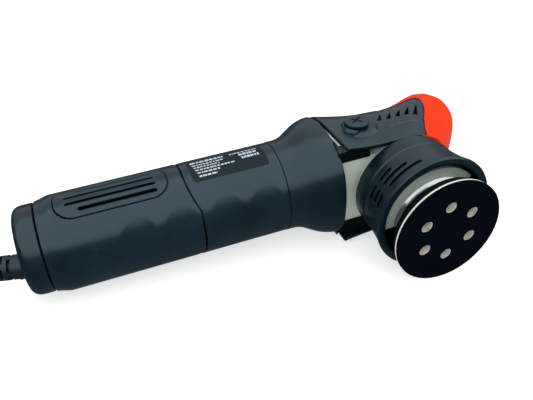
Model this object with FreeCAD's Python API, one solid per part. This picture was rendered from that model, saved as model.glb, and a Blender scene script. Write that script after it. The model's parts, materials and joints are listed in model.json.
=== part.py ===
import FreeCAD, Part
import math
import os

from FreeCAD import Matrix, Placement, Rotation, Vector

# Corded mini random-orbit polisher and sander, all sizes in millimetres.
# It is drawn in a tool frame: the spindle axis (Y) crosses the barrel axis (X)
# at the origin, +X runs from the cord to the nose, the pad faces -Y and +Z is
# the side with the vents. At the end everything is laid on its side on a floor.

# Barrel (motor housing)
BARREL_R = 31.3
PANEL_RAISE = 0.5
WALL = 2.6
BARREL_IN_R = BARREL_R - WALL
CAP_R = 28.8
CAP_BACK_X = -252.0
CAP_EDGE = 8.0
BARREL_BACK_X = -237.5
HOUSING_SEAM_X = -144.0
BARREL_FRONT_X = -82.4
SEAM_GAP = 0.4
VENT_X0 = -220.0
VENT_X1 = -163.5
VENT_W = 2.6
VENT_STEP_DEG = 10.6
VENT_MID_DEG = 93.0
PANEL_X0 = -226.5
PANEL_X1 = -157.5
PANEL_SPAN_DEG = 48.0
LABEL_X0 = -140.5
LABEL_X1 = -89.0
LABEL_THICK = 0.35
LABEL_MID_DEG = 95.3
LABEL_SPAN_DEG = 40.5

# Bumper sleeve
BUMPER_FRONT_X = -45.5
BUMPER_DIAG_R = 42.4
BUMPER_HALF = 39.6
BUMPER_IN_R = 30.2

# Head
HEAD_HALF = 36.0
HEAD_BACK_X = -41.5
HEAD_LOW_Y = -33.0
HEAD_WALL = 3.0
GRIP_CENTRE = (47.0, 15.0)
GRIP_SEMI = (29.0, 20.0, 34.5)
CHIN_CENTRE = (24.0, -6.0)
CHIN_SEMI = (29.0, 34.0, 34.5)
PLUG_XY = (-23.3, -6.9)
PLUG_TOP = 41.4
PLUG_HEAD_R = 8.5
PLUG_SHANK_R = 3.95

# Gear case
CASE_R = 31.4
CHAMBER_R = 27.0
CASE_FLOOR_Y = -27.0
WINDOW_HALF = 25.0

# Skirt (rubber shroud)
SKIRT_TOP_Y = -33.4
SKIRT_RIM_Y = -72.3
SKIRT_NECK_R = 36.3
SKIRT_RIM_R = 40.7
SKIRT_LIP_R = 35.1
SKIRT_SLOT_W = 2.6

# Pad and its eccentric drive
PAD_R = 37.5
PAD_FACE_Y = -86.4
PAD_OFFSET = 6.0
PAD_OFFSET_DEG = -68.4
PAD_HOLES = 6
PAD_HOLE_R = 4.2
PAD_HOLE_PCD_R = 18.95
PAD_HOLE_PHASE_DEG = 32.0
BACK_RING_R = 26.6
ARBOR_R = 5.0

# Bevel gears with their common apex at the origin
PINION_TEETH = 10
CROWN_TEETH = 33
CROWN_PITCH_R = 24.0
TOOTH_FACE = 7.6
CONE_DEG = math.degrees(math.atan(PINION_TEETH / CROWN_TEETH))
PINION_PITCH_R = CROWN_PITCH_R * PINION_TEETH / CROWN_TEETH
PINION_PHASE_DEG = 180.0 / PINION_TEETH

# Motor
SHAFT_R = 4.0
RUN_FIT = 0.03
CORE_X0 = -176.0
CORE_X1 = -132.0
STATOR_R = 27.0
STATOR_BORE = 15.8
ARMATURE_R = 15.2
COMMUTATOR_R = 9.6
BRUSH_X = -197.0

# Mains lead and its bend protector, which leaves the cap below its centre
GUARD_Y = -13.6
GUARD_YAW_DEG = 14.0
GUARD_LENGTH = 46.0
GUARD_R = 7.7
GUARD_TIP_R = 5.4
CORD_D = 7.4
COIL_CENTRE = (-380.0, -44.0)
COIL_MID_R = 6 * CORD_D
LAYER_RISE = 6.4
# Route on the floor: from the bend protector to the top of the coil, then
# round the outside of the coil to the plug as (angle, radius, height)
LEAD_POINTS = [(-318.8, 2.0, 27.5), (-338.4, 5.6, 26.0), (-359.2, 7.5, 24.3)]
TAIL_POLAR = [(150, 55.5, 3.8), (168, 57.2, 3.8), (186, 61.4, 3.9), (203, 68.6, 4.8), (218, 76.8, 6.6)]

# Mains plug
PLUG_LENGTH = 38.0
PLUG_WIDTH = 35.0
PLUG_THICK = 13.2
PLUG_NOSE = 15.0
PIN_R = 2.0
PIN_SPACING = 18.6
PIN_LENGTH = 19.0

# Switch slider and speed dial
SWITCH_X = -116.0
SWITCH_TRAVEL = 6.0
DIAL_X = -227.0
DIAL_R = 10.0
DIAL_Y = 22.6

X_DIR = Vector(1, 0, 0)
Y_DIR = Vector(0, 1, 0)
Z_DIR = Vector(0, 0, 1)

# Resting pose: the back of the lower vent panel, the rim of the pad and the
# lower handle plug touch the floor, which raises the head by a small tilt.
PAD_AXIS_X = PAD_OFFSET * math.cos(math.radians(PAD_OFFSET_DEG))
PAD_AXIS_Z = PAD_OFFSET * math.sin(math.radians(PAD_OFFSET_DEG))
PAD_LOW_Z = PAD_AXIS_Z - PAD_R
TILT = math.atan((-PAD_LOW_Z - BARREL_R - PANEL_RAISE) / (PAD_AXIS_X - PANEL_X0))
TILT_DEG = math.degrees(TILT)
FLOOR_Z = PAD_AXIS_X * math.sin(TILT) + PAD_LOW_Z * math.cos(TILT)


def turned(points, axis):
    """Solid of revolution of (station along the axis, radius) points."""
    side = Y_DIR if axis == X_DIR else X_DIR
    corners = [axis * s + side * r for s, r in points]
    face = Part.Face(Part.makePolygon(corners + [corners[0]]))
    solid = face.revolve(Vector(0, 0, 0), axis, 360)
    return solid


def rod(axis, start, end, radius, centre=(0, 0, 0)):
    """Round bar along an axis from one station to the other."""
    base = Vector(*centre) + axis * start
    return Part.makeCylinder(radius, end - start, base, axis)


def ring(axis, start, end, outer, inner, centre=(0, 0, 0)):
    return rod(axis, start, end, outer, centre).cut(
        rod(axis, start - 1, end + 1, inner, centre))


def block(x0, x1, y0, y1, z0, z1):
    return Part.makeBox(x1 - x0, y1 - y0, z1 - z0, Vector(x0, y0, z0))


def sector(axis, start, end, outer, inner, mid_deg, span_deg):
    """Piece of a ring; angles run from +Y to +Z on X, from +X to +Z on Y."""
    half = math.radians(span_deg / 2)
    mid = math.radians(mid_deg)

    def at(radius, angle):
        if axis == X_DIR:
            return Vector(start, radius * math.cos(angle), radius * math.sin(angle))
        return Vector(radius * math.cos(angle), start, radius * math.sin(angle))

    outer_arc = Part.Arc(at(outer, mid - half), at(outer, mid), at(outer, mid + half))
    inner_arc = Part.Arc(at(inner, mid + half), at(inner, mid), at(inner, mid - half))
    edges = [
        outer_arc.toShape(),
        Part.LineSegment(at(outer, mid + half), at(inner, mid + half)).toShape(),
        inner_arc.toShape(),
        Part.LineSegment(at(inner, mid - half), at(outer, mid - half)).toShape(),
    ]
    return Part.Face(Part.Wire(edges)).extrude(axis * (end - start))


def round_edges(shape, radius, wanted):
    """Fillets the edges for which wanted(edge) is true."""
    edges = [e for e in shape.Edges if wanted(e)]
    return shape.makeFillet(radius, edges)


def circle_edge(axis, station, radius):
    """Test for the full circular edge of this radius at this station."""
    def wanted(edge):
        curve = edge.Curve
        if not isinstance(curve, Part.Circle):
            return False
        here = curve.Center.dot(axis)
        return abs(here - station) < 0.05 and abs(curve.Radius - radius) < 0.05
    return wanted


def fuse_all(shapes):
    return shapes[0].multiFuse(shapes[1:]).removeSplitter()


def group(shapes):
    return Part.makeCompound(shapes)


def turned_about(shape, axis, degrees, centre=(0, 0, 0)):
    copy = shape.copy()
    copy.rotate(Vector(*centre), axis, degrees)
    return copy


def copies_round(shape, axis, angles, centre=(0, 0, 0)):
    return [turned_about(shape, axis, a, centre) for a in angles]


def offset_centre():
    """Point of the pad's axis, which runs beside the spindle's."""
    return (PAD_AXIS_X, 0, PAD_AXIS_Z)


# ---------------------------------------------------------------- housings

def vent_slots():
    """Four long slots on each flank, cut through the rear housing."""
    slots = []
    for side in (0, 180):
        for k in range(4):
            angle = VENT_MID_DEG + (k - 1.5) * VENT_STEP_DEG + side
            slot = block(VENT_X0, VENT_X1, BARREL_IN_R - 6, BARREL_R + 4,
                         -VENT_W / 2, VENT_W / 2)
            slots.append(turned_about(slot, X_DIR, angle))
    return slots


def rear_housing():
    """Barrel tube with a rounded back shoulder and the rear bearing seat."""
    shoulder = 10.0
    tube = turned([
        (BARREL_BACK_X, CAP_R + 0.6), (BARREL_BACK_X + shoulder, BARREL_R),
        (HOUSING_SEAM_X - SEAM_GAP, BARREL_R), (HOUSING_SEAM_X - SEAM_GAP, BARREL_IN_R),
        (BARREL_BACK_X + shoulder, BARREL_IN_R), (BARREL_BACK_X, BARREL_IN_R - 0.6),
    ], X_DIR)
    tube = round_edges(tube, 12.0, circle_edge(X_DIR, BARREL_BACK_X + shoulder, BARREL_R))
    seat = ring(X_DIR, -215, -204, 15.4, 13.4)
    seat_wall = ring(X_DIR, -217, -215, 15.4, 9.0)
    arm = block(-215, -205, 14.8, BARREL_IN_R + 0.4, -1.6, 1.6)
    arms = copies_round(arm, X_DIR, (38, 142, 218, 322))
    body = fuse_all([tube, seat, seat_wall] + arms)
    dial_slot = block(-235.6, -215.4, 20, 40, -3.4, 3.4)
    pockets = [panel_sector(BARREL_R + 1, side) for side in (0, 180)]
    for cutter in vent_slots() + pockets + [dial_slot]:
        body = body.cut(cutter)
    return body


def front_housing():
    """Front half of the barrel with four screw posts and the switch slot."""
    tube = ring(X_DIR, HOUSING_SEAM_X, BARREL_FRONT_X, BARREL_R, BARREL_IN_R)
    post = rod(X_DIR, -98, BARREL_FRONT_X, 3.6, (0, 25.4, 0))
    posts = [p.common(rod(X_DIR, -99, BARREL_FRONT_X, BARREL_IN_R + 0.5))
             for p in copies_round(post, X_DIR, (45, 135, 225, 315))]
    body = fuse_all([tube] + posts)
    hole = rod(X_DIR, -96, -80, 1.75, (0, 25.0, 0))
    for cutter in copies_round(hole, X_DIR, (45, 135, 225, 315)):
        body = body.cut(cutter)
    switch_slot = block(SWITCH_X - 4.2, SWITCH_X + 4.2 + SWITCH_TRAVEL, 20, 40, -3.2, 3.2)
    return body.cut(switch_slot)


def rear_cap():
    """Domed end cap with the cord inlet, spigoted into the barrel."""
    cap_front = BARREL_BACK_X - 0.9
    shell = rod(X_DIR, CAP_BACK_X, cap_front, CAP_R)
    shell = round_edges(shell, CAP_EDGE, circle_edge(X_DIR, CAP_BACK_X, CAP_R))
    hollow = rod(X_DIR, CAP_BACK_X + WALL, cap_front + 1, CAP_R - WALL)
    hollow = round_edges(hollow, CAP_EDGE - WALL,
                         circle_edge(X_DIR, CAP_BACK_X + WALL, CAP_R - WALL))
    spigot = ring(X_DIR, cap_front - 3, BARREL_BACK_X + 5, CAP_R - 1.6, CAP_R - 1.6 - WALL)
    body = shell.cut(hollow).fuse(spigot).removeSplitter()
    inlet = rod(X_DIR, CAP_BACK_X - 1, CAP_BACK_X + WALL + 1, 7.0, (0, GUARD_Y, 0))
    dial_slot = block(-239.4, -200, 17, 40, -3.4, 3.4)
    return body.cut(inlet).cut(dial_slot)


def panel_sector(outer, side):
    """Curved blank of a vent panel with rounded corners, side in degrees."""
    blank = sector(X_DIR, PANEL_X0, PANEL_X1, outer, BARREL_R - 1.2, VENT_MID_DEG + side, PANEL_SPAN_DEG)
    half_width = BARREL_R * math.sin(math.radians(PANEL_SPAN_DEG / 2))
    trim = block(PANEL_X0, PANEL_X1, 0, 60, -half_width - 0.2, half_width + 0.2)
    trim = round_edges(trim, 11.0, lambda e: abs(e.tangentAt(0).y) > 0.9)
    return blank.common(turned_about(trim, X_DIR, VENT_MID_DEG + side))


def vent_panel(side):
    """Grille panel let into one flank, a little proud of the barrel."""
    panel = panel_sector(BARREL_R + PANEL_RAISE, side)
    for cutter in vent_slots():
        panel = panel.cut(cutter)
    return panel


def bumper_sleeve():
    """Flared rubber sleeve: a turned trumpet trimmed to a rounded square."""
    flare = turned([
        (BARREL_FRONT_X + SEAM_GAP, BUMPER_IN_R), (BARREL_FRONT_X + SEAM_GAP, BARREL_R),
        (-74, 31.7), (-69.7, 33.0), (-65.3, 35.4), (-61, 37.9), (-56.8, 40.0),
        (-52, 41.6), (-47, BUMPER_DIAG_R), (BUMPER_FRONT_X, BUMPER_DIAG_R - 0.6),
        (BUMPER_FRONT_X, 34.5), (-50, 33.8), (-58, BUMPER_IN_R),
    ], X_DIR)
    trim = block(-90, -40, -BUMPER_HALF, BUMPER_HALF, -BUMPER_HALF, BUMPER_HALF)
    corner_r = (BUMPER_HALF * math.sqrt(2) - BUMPER_DIAG_R) / (math.sqrt(2) - 1)
    trim = round_edges(trim, corner_r, lambda e: abs(e.tangentAt(0).x) > 0.9)
    return flare.common(trim)


def label_plate():
    return sector(X_DIR, LABEL_X0, LABEL_X1, BARREL_R + LABEL_THICK, BARREL_R, LABEL_MID_DEG, LABEL_SPAN_DEG)


# ------------------------------------------------------------- switch, dial


def slide_switch():
    """Thumb slide on the top of the barrel with its stem through the slot."""
    knob = block(SWITCH_X - 11, SWITCH_X + 11, BARREL_R + 0.3, BARREL_R + 4.3, -7, 7)
    knob = round_edges(knob, 1.8, lambda e: e.CenterOfMass.y > BARREL_R + 4)
    stem = block(SWITCH_X - 4, SWITCH_X + 4, 28.3, BARREL_R + 1, -3, 3)
    rod_bar = block(-216.4, SWITCH_X + 4, 27.25, 28.35, -2.2, 2.2)
    grooves = [block(SWITCH_X + g - 0.6, SWITCH_X + g + 0.6, BARREL_R + 3.6, BARREL_R + 5, -8, 8)
               for g in (-6, -3, 0, 3, 6)]
    body = fuse_all([knob, stem, rod_bar])
    for groove in grooves:
        body = body.cut(groove)
    return body


def speed_dial():
    """Knurled thumb wheel that stands a little out of the barrel."""
    wheel = rod(Z_DIR, -2.9, 2.9, DIAL_R, (DIAL_X, DIAL_Y, 0))
    notch = rod(Z_DIR, -4, 4, 0.7, (DIAL_X + DIAL_R + 0.1, DIAL_Y, 0))
    for cutter in copies_round(notch, Z_DIR, range(0, 360, 20), (DIAL_X, DIAL_Y, 0)):
        wheel = wheel.cut(cutter)
    return wheel.cut(rod(Z_DIR, -4, 4, 2.0, (DIAL_X, DIAL_Y, 0)))


def speed_board():
    """Circuit board with the dial's pin and a few parts on it."""
    board = block(-234, -218.5, 2, 24, -5.2, -3.6)
    pin = rod(Z_DIR, -4.6, 2.9, 2.0 - 0.05, (DIAL_X, DIAL_Y, 0))
    triac = block(-232, -222, 4, 10, -3.6, -1.2)
    board = board.common(rod(X_DIR, -240, -200, 24.3))
    return fuse_all([board, pin, triac])


def switch_body():
    """Switch that the slide's bar works, with its plunger end."""
    return block(-232, -218, 12, 23.5, 3.6, 13.4)


def noise_filter():
    """Suppression capacitor beside the switch."""
    return block(-232, -220, -8, 8, 9, 17)


# -------------------------------------------------------------------- motor

def stator_core():
    yoke = ring(X_DIR, CORE_X0, CORE_X1, STATOR_R, 22.0)
    poles = [sector(X_DIR, CORE_X0, CORE_X1, 22.3, STATOR_BORE, a, 84) for a in (90, 270)]
    flat = block(CORE_X0 - 1, CORE_X1 + 1, 26.6, 40, -10, 10)
    body = fuse_all([yoke] + poles)
    for cutter in copies_round(flat, X_DIR, (0, 180)):
        body = body.cut(cutter)
    return body


def field_coils():
    """One winding round each pole: a frame bent to the yoke."""
    coils = []
    for middle in (90, 270):
        outer = sector(X_DIR, CORE_X0 - 7, CORE_X1 + 7, 21.6, 16.6, middle, 166)
        window = sector(X_DIR, CORE_X0 - 0.3, CORE_X1 + 0.3, 23.0, 15.5, middle, 86)
        coils.append(outer.cut(window))
    return group(coils)


def armature_shaft():
    """Shaft from the rear bearing to the pinion."""
    return turned([
        (-214, 0), (-214, 3.5), (-206, 3.5), (-206, SHAFT_R), (-77, SHAFT_R),
        (-77, 5.0), (-58, 5.0), (-58, 3.5), (-26.5, 3.5), (-26.5, 0),
    ], X_DIR)


def armature_core():
    """Slotted steel stack on the shaft."""
    core = ring(X_DIR, CORE_X0, CORE_X1, ARMATURE_R, SHAFT_R)
    slot = block(CORE_X0 - 1, CORE_X1 + 1, 9.5, 14.3, -1.3, 1.3)
    mouth = block(CORE_X0 - 1, CORE_X1 + 1, 13, 17, -0.5, 0.5)
    cutter = slot.fuse(mouth)
    for one in copies_round(cutter, X_DIR, range(0, 360, 30)):
        core = core.cut(one)
    return core


def armature_windings():
    """Copper bars in the slots, joined by the end turns."""
    bar = block(CORE_X0 - 2, CORE_X1 + 2, 9.6, 14.2, -1.2, 1.2)
    bars = copies_round(bar, X_DIR, range(0, 360, 30))
    back = turned([(CORE_X0 - 9, 7), (CORE_X0 - 9, 11), (CORE_X0 - 5, 14.2), (CORE_X0 - 0.4, 14.2),
                   (CORE_X0 - 0.4, 6)], X_DIR)
    front = turned([(CORE_X1 + 9, 7), (CORE_X1 + 9, 11), (CORE_X1 + 5, 14.2), (CORE_X1 + 0.4, 14.2),
                    (CORE_X1 + 0.4, 6)], X_DIR)
    return fuse_all([back, front] + bars)


def commutator():
    body = ring(X_DIR, -203, -189, COMMUTATOR_R, SHAFT_R)
    slit = block(-204, -191, COMMUTATOR_R - 0.8, COMMUTATOR_R + 1, -0.25, 0.25)
    for one in copies_round(slit, X_DIR, range(0, 360, 15)):
        body = body.cut(one)
    return body


def cooling_fan():
    """Radial fan on the shaft in front of the core."""
    hub = ring(X_DIR, -116, -104, 6.5, SHAFT_R)
    disc = ring(X_DIR, -106, -104.4, 23.5, 6.4)
    blade = block(-115, -105.9, 8.5, 23.0, -0.6, 0.6)
    blade.rotate(Vector(0, 8.5, 0), X_DIR, 25)
    blades = copies_round(blade, X_DIR, range(0, 360, 30))
    return fuse_all([hub, disc, *blades, ring(X_DIR, -110, -105.9, 9.5, 6.0)])


def fan_baffle():
    """Plate that leads the air from the motor into the fan's eye."""
    plate = ring(X_DIR, -119, -117.4, BARREL_IN_R - 0.05, 14.5)
    return plate.cut(block(-125, -110, 26.6, 40, -5, 5))


def ball_bearing(x0, x1, outer, inner, axis=X_DIR, centre=(0, 0, 0)):
    """Two rings with a shield between them, turned as one solid."""
    mid_in = inner + (outer - inner) * 0.28
    mid_out = inner + (outer - inner) * 0.72
    body = ring(axis, x0, x1, outer, inner, centre)
    for station in (x0, x1 - 0.4):
        groove = ring(axis, station, station + 0.4, mid_out, mid_in, centre)
        body = body.cut(groove)
    return body


def bearing_cup():
    """Rubber ring that holds the rear bearing."""
    return ring(X_DIR, -214, -205, 13.35, 11.0)


def brush_holders():
    holders = []
    for side in (0, 180):
        tube = block(BRUSH_X - 5, BRUSH_X + 5, -3.6, 3.6, COMMUTATOR_R + 1.2, 27.4)
        bore = block(BRUSH_X - 4, BRUSH_X + 4, -2.6, 2.6, COMMUTATOR_R, 26.0)
        holders.append(turned_about(tube.cut(bore), X_DIR, side))
    return group(holders)


def brushes():
    carbon = block(BRUSH_X - 3.95, BRUSH_X + 3.95, -2.55, 2.55, COMMUTATOR_R - 0.4, 21)
    carbon = carbon.cut(rod(X_DIR, BRUSH_X - 6, BRUSH_X + 6, COMMUTATOR_R + RUN_FIT))
    return group([turned_about(carbon, X_DIR, side) for side in (0, 180)])


def brush_springs():
    """Spring behind each carbon brush, drawn as a closed sleeve with coil grooves."""
    outer = 2.1
    groove = 1.7
    inner = 1.2
    low = 21.2
    pitch = 0.9
    points = [(low, inner)]
    for k in range(5):
        points.append((low + k * pitch, groove))
        points.append((low + (k + 0.5) * pitch, outer))
    points.append((low + 5 * pitch, groove))
    points.append((low + 5 * pitch, inner))
    spring = turned(points, Z_DIR)
    spring.translate(Vector(BRUSH_X, 0, 0))
    return group([spring, turned_about(spring, X_DIR, 180)])


# -------------------------------------------------------------------- gears

def bevel_gear(teeth, pitch_r, cone_deg, tooth_share, hub):
    """Straight bevel teeth along X, large end at the cone distance behind the apex.

    Every tooth is a frustum of a pyramid whose tip is the common apex.
    """
    cone = math.radians(cone_deg)
    distance = pitch_r / math.sin(cone)
    module = 2 * pitch_r / teeth
    addendum = 0.7 * module
    dedendum = 1.1 * module
    pitch = 2 * math.pi * pitch_r / teeth

    def at(height, half_width, scale):
        """Point of the tooth section: height off the pitch line, sideways shift."""
        radial = pitch_r + height * math.cos(cone)
        along = distance * math.cos(cone) - height * math.sin(cone)
        return Vector(-along * scale, radial * scale, half_width * scale)

    def section(scale):
        mid = pitch * tooth_share / 2
        lean = math.tan(math.radians(20))
        top = mid - addendum * lean
        low = mid + dedendum * lean
        corners = [at(-dedendum - 0.5, low, scale), at(-dedendum, low, scale),
                   at(addendum, top, scale), at(addendum, -top, scale),
                   at(-dedendum, -low, scale), at(-dedendum - 0.5, -low, scale)]
        return Part.makePolygon(corners + [corners[0]])

    small = (distance - TOOTH_FACE) / distance
    tooth = Part.makeLoft([section(1.0), section(small)], True, True)
    root_big = at(-dedendum, 0, 1.0)
    root_small = at(-dedendum, 0, small)
    root = turned([(root_big.x, 0), (root_big.x, root_big.y), (root_small.x, root_small.y),
                   (root_small.x, 0)], X_DIR)
    step = 360.0 / teeth
    return fuse_all([root.fuse(hub)] + copies_round(tooth, X_DIR, [k * step for k in range(teeth)]))


def pinion():
    hub = rod(X_DIR, -33, -22.6, 5.2)
    gear = bevel_gear(PINION_TEETH, PINION_PITCH_R, CONE_DEG, 0.38, hub)
    gear = gear.cut(rod(X_DIR, -40, 0, 3.5))
    return turned_about(gear, X_DIR, PINION_PHASE_DEG)


def crown_gear():
    """Large gear on the spindle, teeth towards the pinion."""
    hub = fuse_all([rod(X_DIR, -13.0, -8.6, 23.4), rod(X_DIR, -17.0, -5.0, 9.0)])
    gear = bevel_gear(CROWN_TEETH, CROWN_PITCH_R, 90 - CONE_DEG, 0.38, hub)
    # The gear is drawn along X like the pinion, then stood on the spindle.
    gear = gear.cut(rod(X_DIR, -40, 10, 6.0))
    placed = turned_about(gear, Z_DIR, 90)
    return placed


def spindle():
    """Driven shaft with the round table of the eccentric below it."""
    return turned([
        (14.6, 0), (14.6, 4.0), (8.0, 4.0), (8.0, 6.0), (-36.2, 6.0), (-36.2, 8.0),
        (-39, 8.0), (-39, 15.5), (-45, 15.5), (-45, 0),
    ], Y_DIR)


def gear_retainer():
    """Spring clip above the crown gear."""
    return ring(Y_DIR, -4.9, -3.7, 8.6, 6.0)


# ------------------------------------------------------------------- gear case

def gear_case():
    """Cast case: rear flange and neck, round gear chamber, bearing bosses."""
    flange = rod(X_DIR, -81.9, -78, 29.9)
    neck = turned([(-78.2, 0), (-78.2, 21), (-58, 26), (-42, 26), (-42, 0)], X_DIR)
    bridge = block(-45, 0, CASE_FLOOR_Y, 12, -WINDOW_HALF, WINDOW_HALF)
    drum = rod(Y_DIR, -31, 8, CASE_R)
    dome = rod(Y_DIR, 7, 16.8, 13.5)
    boss = rod(Z_DIR, -37.5, 37.5, 9.0, (*PLUG_XY, 0))
    outer = fuse_all([flange, neck, bridge, drum, dome, boss])
    chamber = turned([(-40, 0), (-40, CHAMBER_R), (1, CHAMBER_R), (5, 22), (5, 0)], Y_DIR)
    upper_seat = rod(Y_DIR, 0, 15.0, 9.5)
    passage = rod(X_DIR, -60, -10, 10.5)
    bearing_seat = rod(X_DIR, -90, -59, 13.0)
    body = outer
    for cutter in (chamber, upper_seat, passage, bearing_seat):
        body = body.cut(cutter)
    socket = rod(Z_DIR, -45, 45, PLUG_SHANK_R, (*PLUG_XY, 0))
    body = body.cut(socket)
    hole = rod(X_DIR, -90, -70, 2.1, (0, 25.0, 0))
    head_room = rod(X_DIR, -78.0, -50, 4.2, (0, 25.0, 0))
    for cutter in copies_round(hole, X_DIR, (45, 135, 225, 315)):
        body = body.cut(cutter)
    for cutter in copies_round(head_room, X_DIR, (45, 135, 225, 315)):
        body = body.cut(cutter)
    cover_hole = rod(Y_DIR, -32, -22, 1.5, (29.2, 0, 0))
    for cutter in copies_round(cover_hole, Y_DIR, (45, 135, 225, 315)):
        body = body.cut(cutter)
    return body


def case_screws():
    """Four screws that pull the gear case onto the motor housing."""
    shank = rod(X_DIR, -94, -77.9, 1.75, (0, 25.0, 0))
    head = rod(X_DIR, -78.0, -74.8, 3.4, (0, 25.0, 0))
    recess = rod(X_DIR, -76.2, -74, 1.5, (0, 25.0, 0))
    screw = fuse_all([shank, head]).cut(recess)
    return group(copies_round(screw, X_DIR, (45, 135, 225, 315)))


def bearing_cover():
    """Cover under the gear chamber with the lower bearing's seat."""
    disc = rod(Y_DIR, -37, -31, 31.4)
    spigot = rod(Y_DIR, -31, -27.5, CHAMBER_R)
    body = disc.fuse(spigot).removeSplitter()
    seat = rod(Y_DIR, -36.0, -20, 14.0)
    body = body.cut(seat)
    body = body.cut(rod(Y_DIR, -40, -30, 8.4))
    hole = rod(Y_DIR, -40, -20, 1.5, (29.2, 0, 0))
    head = rod(Y_DIR, -40, -34.5, 2.0, (29.2, 0, 0))
    for cutter in copies_round(hole.fuse(head), Y_DIR, (45, 135, 225, 315)):
        body = body.cut(cutter)
    return body


def cover_screws():
    shank = rod(Y_DIR, -35, -23, 1.45, (29.2, 0, 0))
    head = rod(Y_DIR, -36.8, -34.5, 1.9, (29.2, 0, 0))
    recess = rod(Y_DIR, -38, -35.8, 1.1, (29.2, 0, 0))
    screw = shank.fuse(head).cut(recess)
    return group(copies_round(screw, Y_DIR, (45, 135, 225, 315)))


# -------------------------------------------------------------------- head

def head_form(shrink):
    """Outer form of the head, drawn in by shrink on every side."""
    half = HEAD_HALF - shrink
    low = HEAD_LOW_Y - 1 if shrink else HEAD_LOW_Y
    back = HEAD_BACK_X - 1 if shrink else HEAD_BACK_X
    top = [Vector(back, 29.5 - shrink, 0), Vector(-30, 27.6 - shrink, 0),
           Vector(-12, 22.6 - shrink, 0), Vector(4, 20.2 - shrink, 0),
           Vector(20, 20.6 - shrink, 0), Vector(45, 24 - shrink, 0)]
    curve = Part.BSplineCurve()
    curve.interpolate(top)
    edges = [
        curve.toShape(),
        Part.LineSegment(top[-1], Vector(45, low, 0)).toShape(),
        Part.LineSegment(Vector(45, low, 0), Vector(back, low, 0)).toShape(),
        Part.LineSegment(Vector(back, low, 0), top[0]).toShape(),
    ]
    side = Part.Face(Part.Wire(edges)).extrude(Vector(0, 0, 100))
    side.translate(Vector(0, 0, -50))
    plan = rod(Y_DIR, low, 60, half).fuse(block(back, 0, low, 60, -half, half))
    body = side.common(plan.removeSplitter()).removeSplitter()
    round_r = 13.0 - shrink
    upper = [e for e in body.Edges
             if e.BoundBox.YMin > 15 - shrink and e.BoundBox.XMax > back + 1]
    body = body.makeFillet(round_r, upper)
    return body


def nose_form(shrink):
    """Ball of the palm grip and the chin below it, two squashed spheres."""
    balls = []
    for centre, semi in ((GRIP_CENTRE, GRIP_SEMI), (CHIN_CENTRE, CHIN_SEMI)):
        ball = Part.makeSphere(1.0)
        squash = Matrix()
        squash.scale(Vector(*[s - shrink for s in semi]))
        ball = ball.transformGeometry(squash)
        ball.translate(Vector(*centre, 0))
        balls.append(ball.common(block(-100, 100, HEAD_LOW_Y, 100, -100, 100)))
    return balls[0].fuse(balls[1])


def grip_region():
    """Space of the palm grip: in front of a slanted line, and a wedge on top."""
    front = Part.makePolygon([Vector(19.4, -60, 0), Vector(19.4, -33, 0), Vector(26, -24, 0),
                              Vector(34.3, -8.8, 0), Vector(39.9, 5.7, 0), Vector(34, 14, 0),
                              Vector(24, 60, 0), Vector(90, 60, 0), Vector(90, -60, 0),
                              Vector(19.4, -60, 0)])
    front = Part.Face(front).extrude(Vector(0, 0, 120))
    front.translate(Vector(0, 0, -60))
    wedge = Part.makePolygon([Vector(-10, 10, 0), Vector(10, 10, 9), Vector(26, 10, 27),
                              Vector(60, 10, 30), Vector(60, 10, -30), Vector(26, 10, -27),
                              Vector(10, 10, -9), Vector(-10, 10, 0)])
    wedge = Part.Face(wedge).extrude(Vector(0, 40, 0))
    return front.fuse(wedge)


def head_room():
    """Hollow inside the head's covers, round the gear case."""
    room = head_form(HEAD_WALL)
    case_room = rod(Y_DIR, -50, 10, CASE_R + 0.1)
    boss_room = rod(Z_DIR, -50, 50, 9.05, (*PLUG_XY, 0))
    return room.fuse(case_room).fuse(boss_room)


def side_cover(side):
    """Dark cover on one flank, with its vents, the oval recess and the plug ring."""
    body = head_form(0).cut(head_room()).cut(grip_region())
    half = block(-60, 60, -60, 60, 0.15, 60)
    if side < 0:
        half = turned_about(half, X_DIR, 180)
    body = body.common(half)
    plug_ring = ring(Z_DIR, 0, 38.0 - 33.5, 12.0, 9.05)
    plug_ring.translate(Vector(*PLUG_XY, 33.5))
    vents = []
    for k in range(5):
        base = -6.4 + 6.85 * k
        tri = Part.makePolygon([Vector(base, -7.2, 0), Vector(base + 2.6, -7.2, 0),
                                Vector(base + 6.2 + 0.3 * k, 0.9 + 0.7 * k, 0),
                                Vector(base, -7.2, 0)])
        tri = Part.Face(tri).extrude(Vector(0, 0, 60))
        vents.append(tri)
    oval = rod(Z_DIR, 35.2, 60, 6.2, (3.0, -22.6, 0))
    oval = oval.fuse(rod(Z_DIR, 35.2, 60, 6.2, (18.0, -22.6, 0)))
    oval = oval.fuse(block(3.0, 18.0, -28.8, -16.4, 35.2, 60))
    if side < 0:
        mirror = Vector(0, 0, 1)
        origin = Vector(0, 0, 0)
        plug_ring = plug_ring.mirror(origin, mirror)
        vents = [v.mirror(origin, mirror) for v in vents]
        oval = oval.mirror(origin, mirror)
    body = body.fuse(plug_ring).removeSplitter()
    for cutter in vents + [oval]:
        body = body.cut(cutter)
    return body


def palm_grip():
    """Soft nose grip: the front of the head grown into a ball."""
    outer = head_form(0).fuse(nose_form(0)).common(grip_region())
    inner = head_room().fuse(nose_form(4.0))
    seam = 0.25
    body = outer.cut(inner)
    keep = grip_region()
    keep.translate(Vector(seam, 0, 0))
    return body.common(keep)


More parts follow.
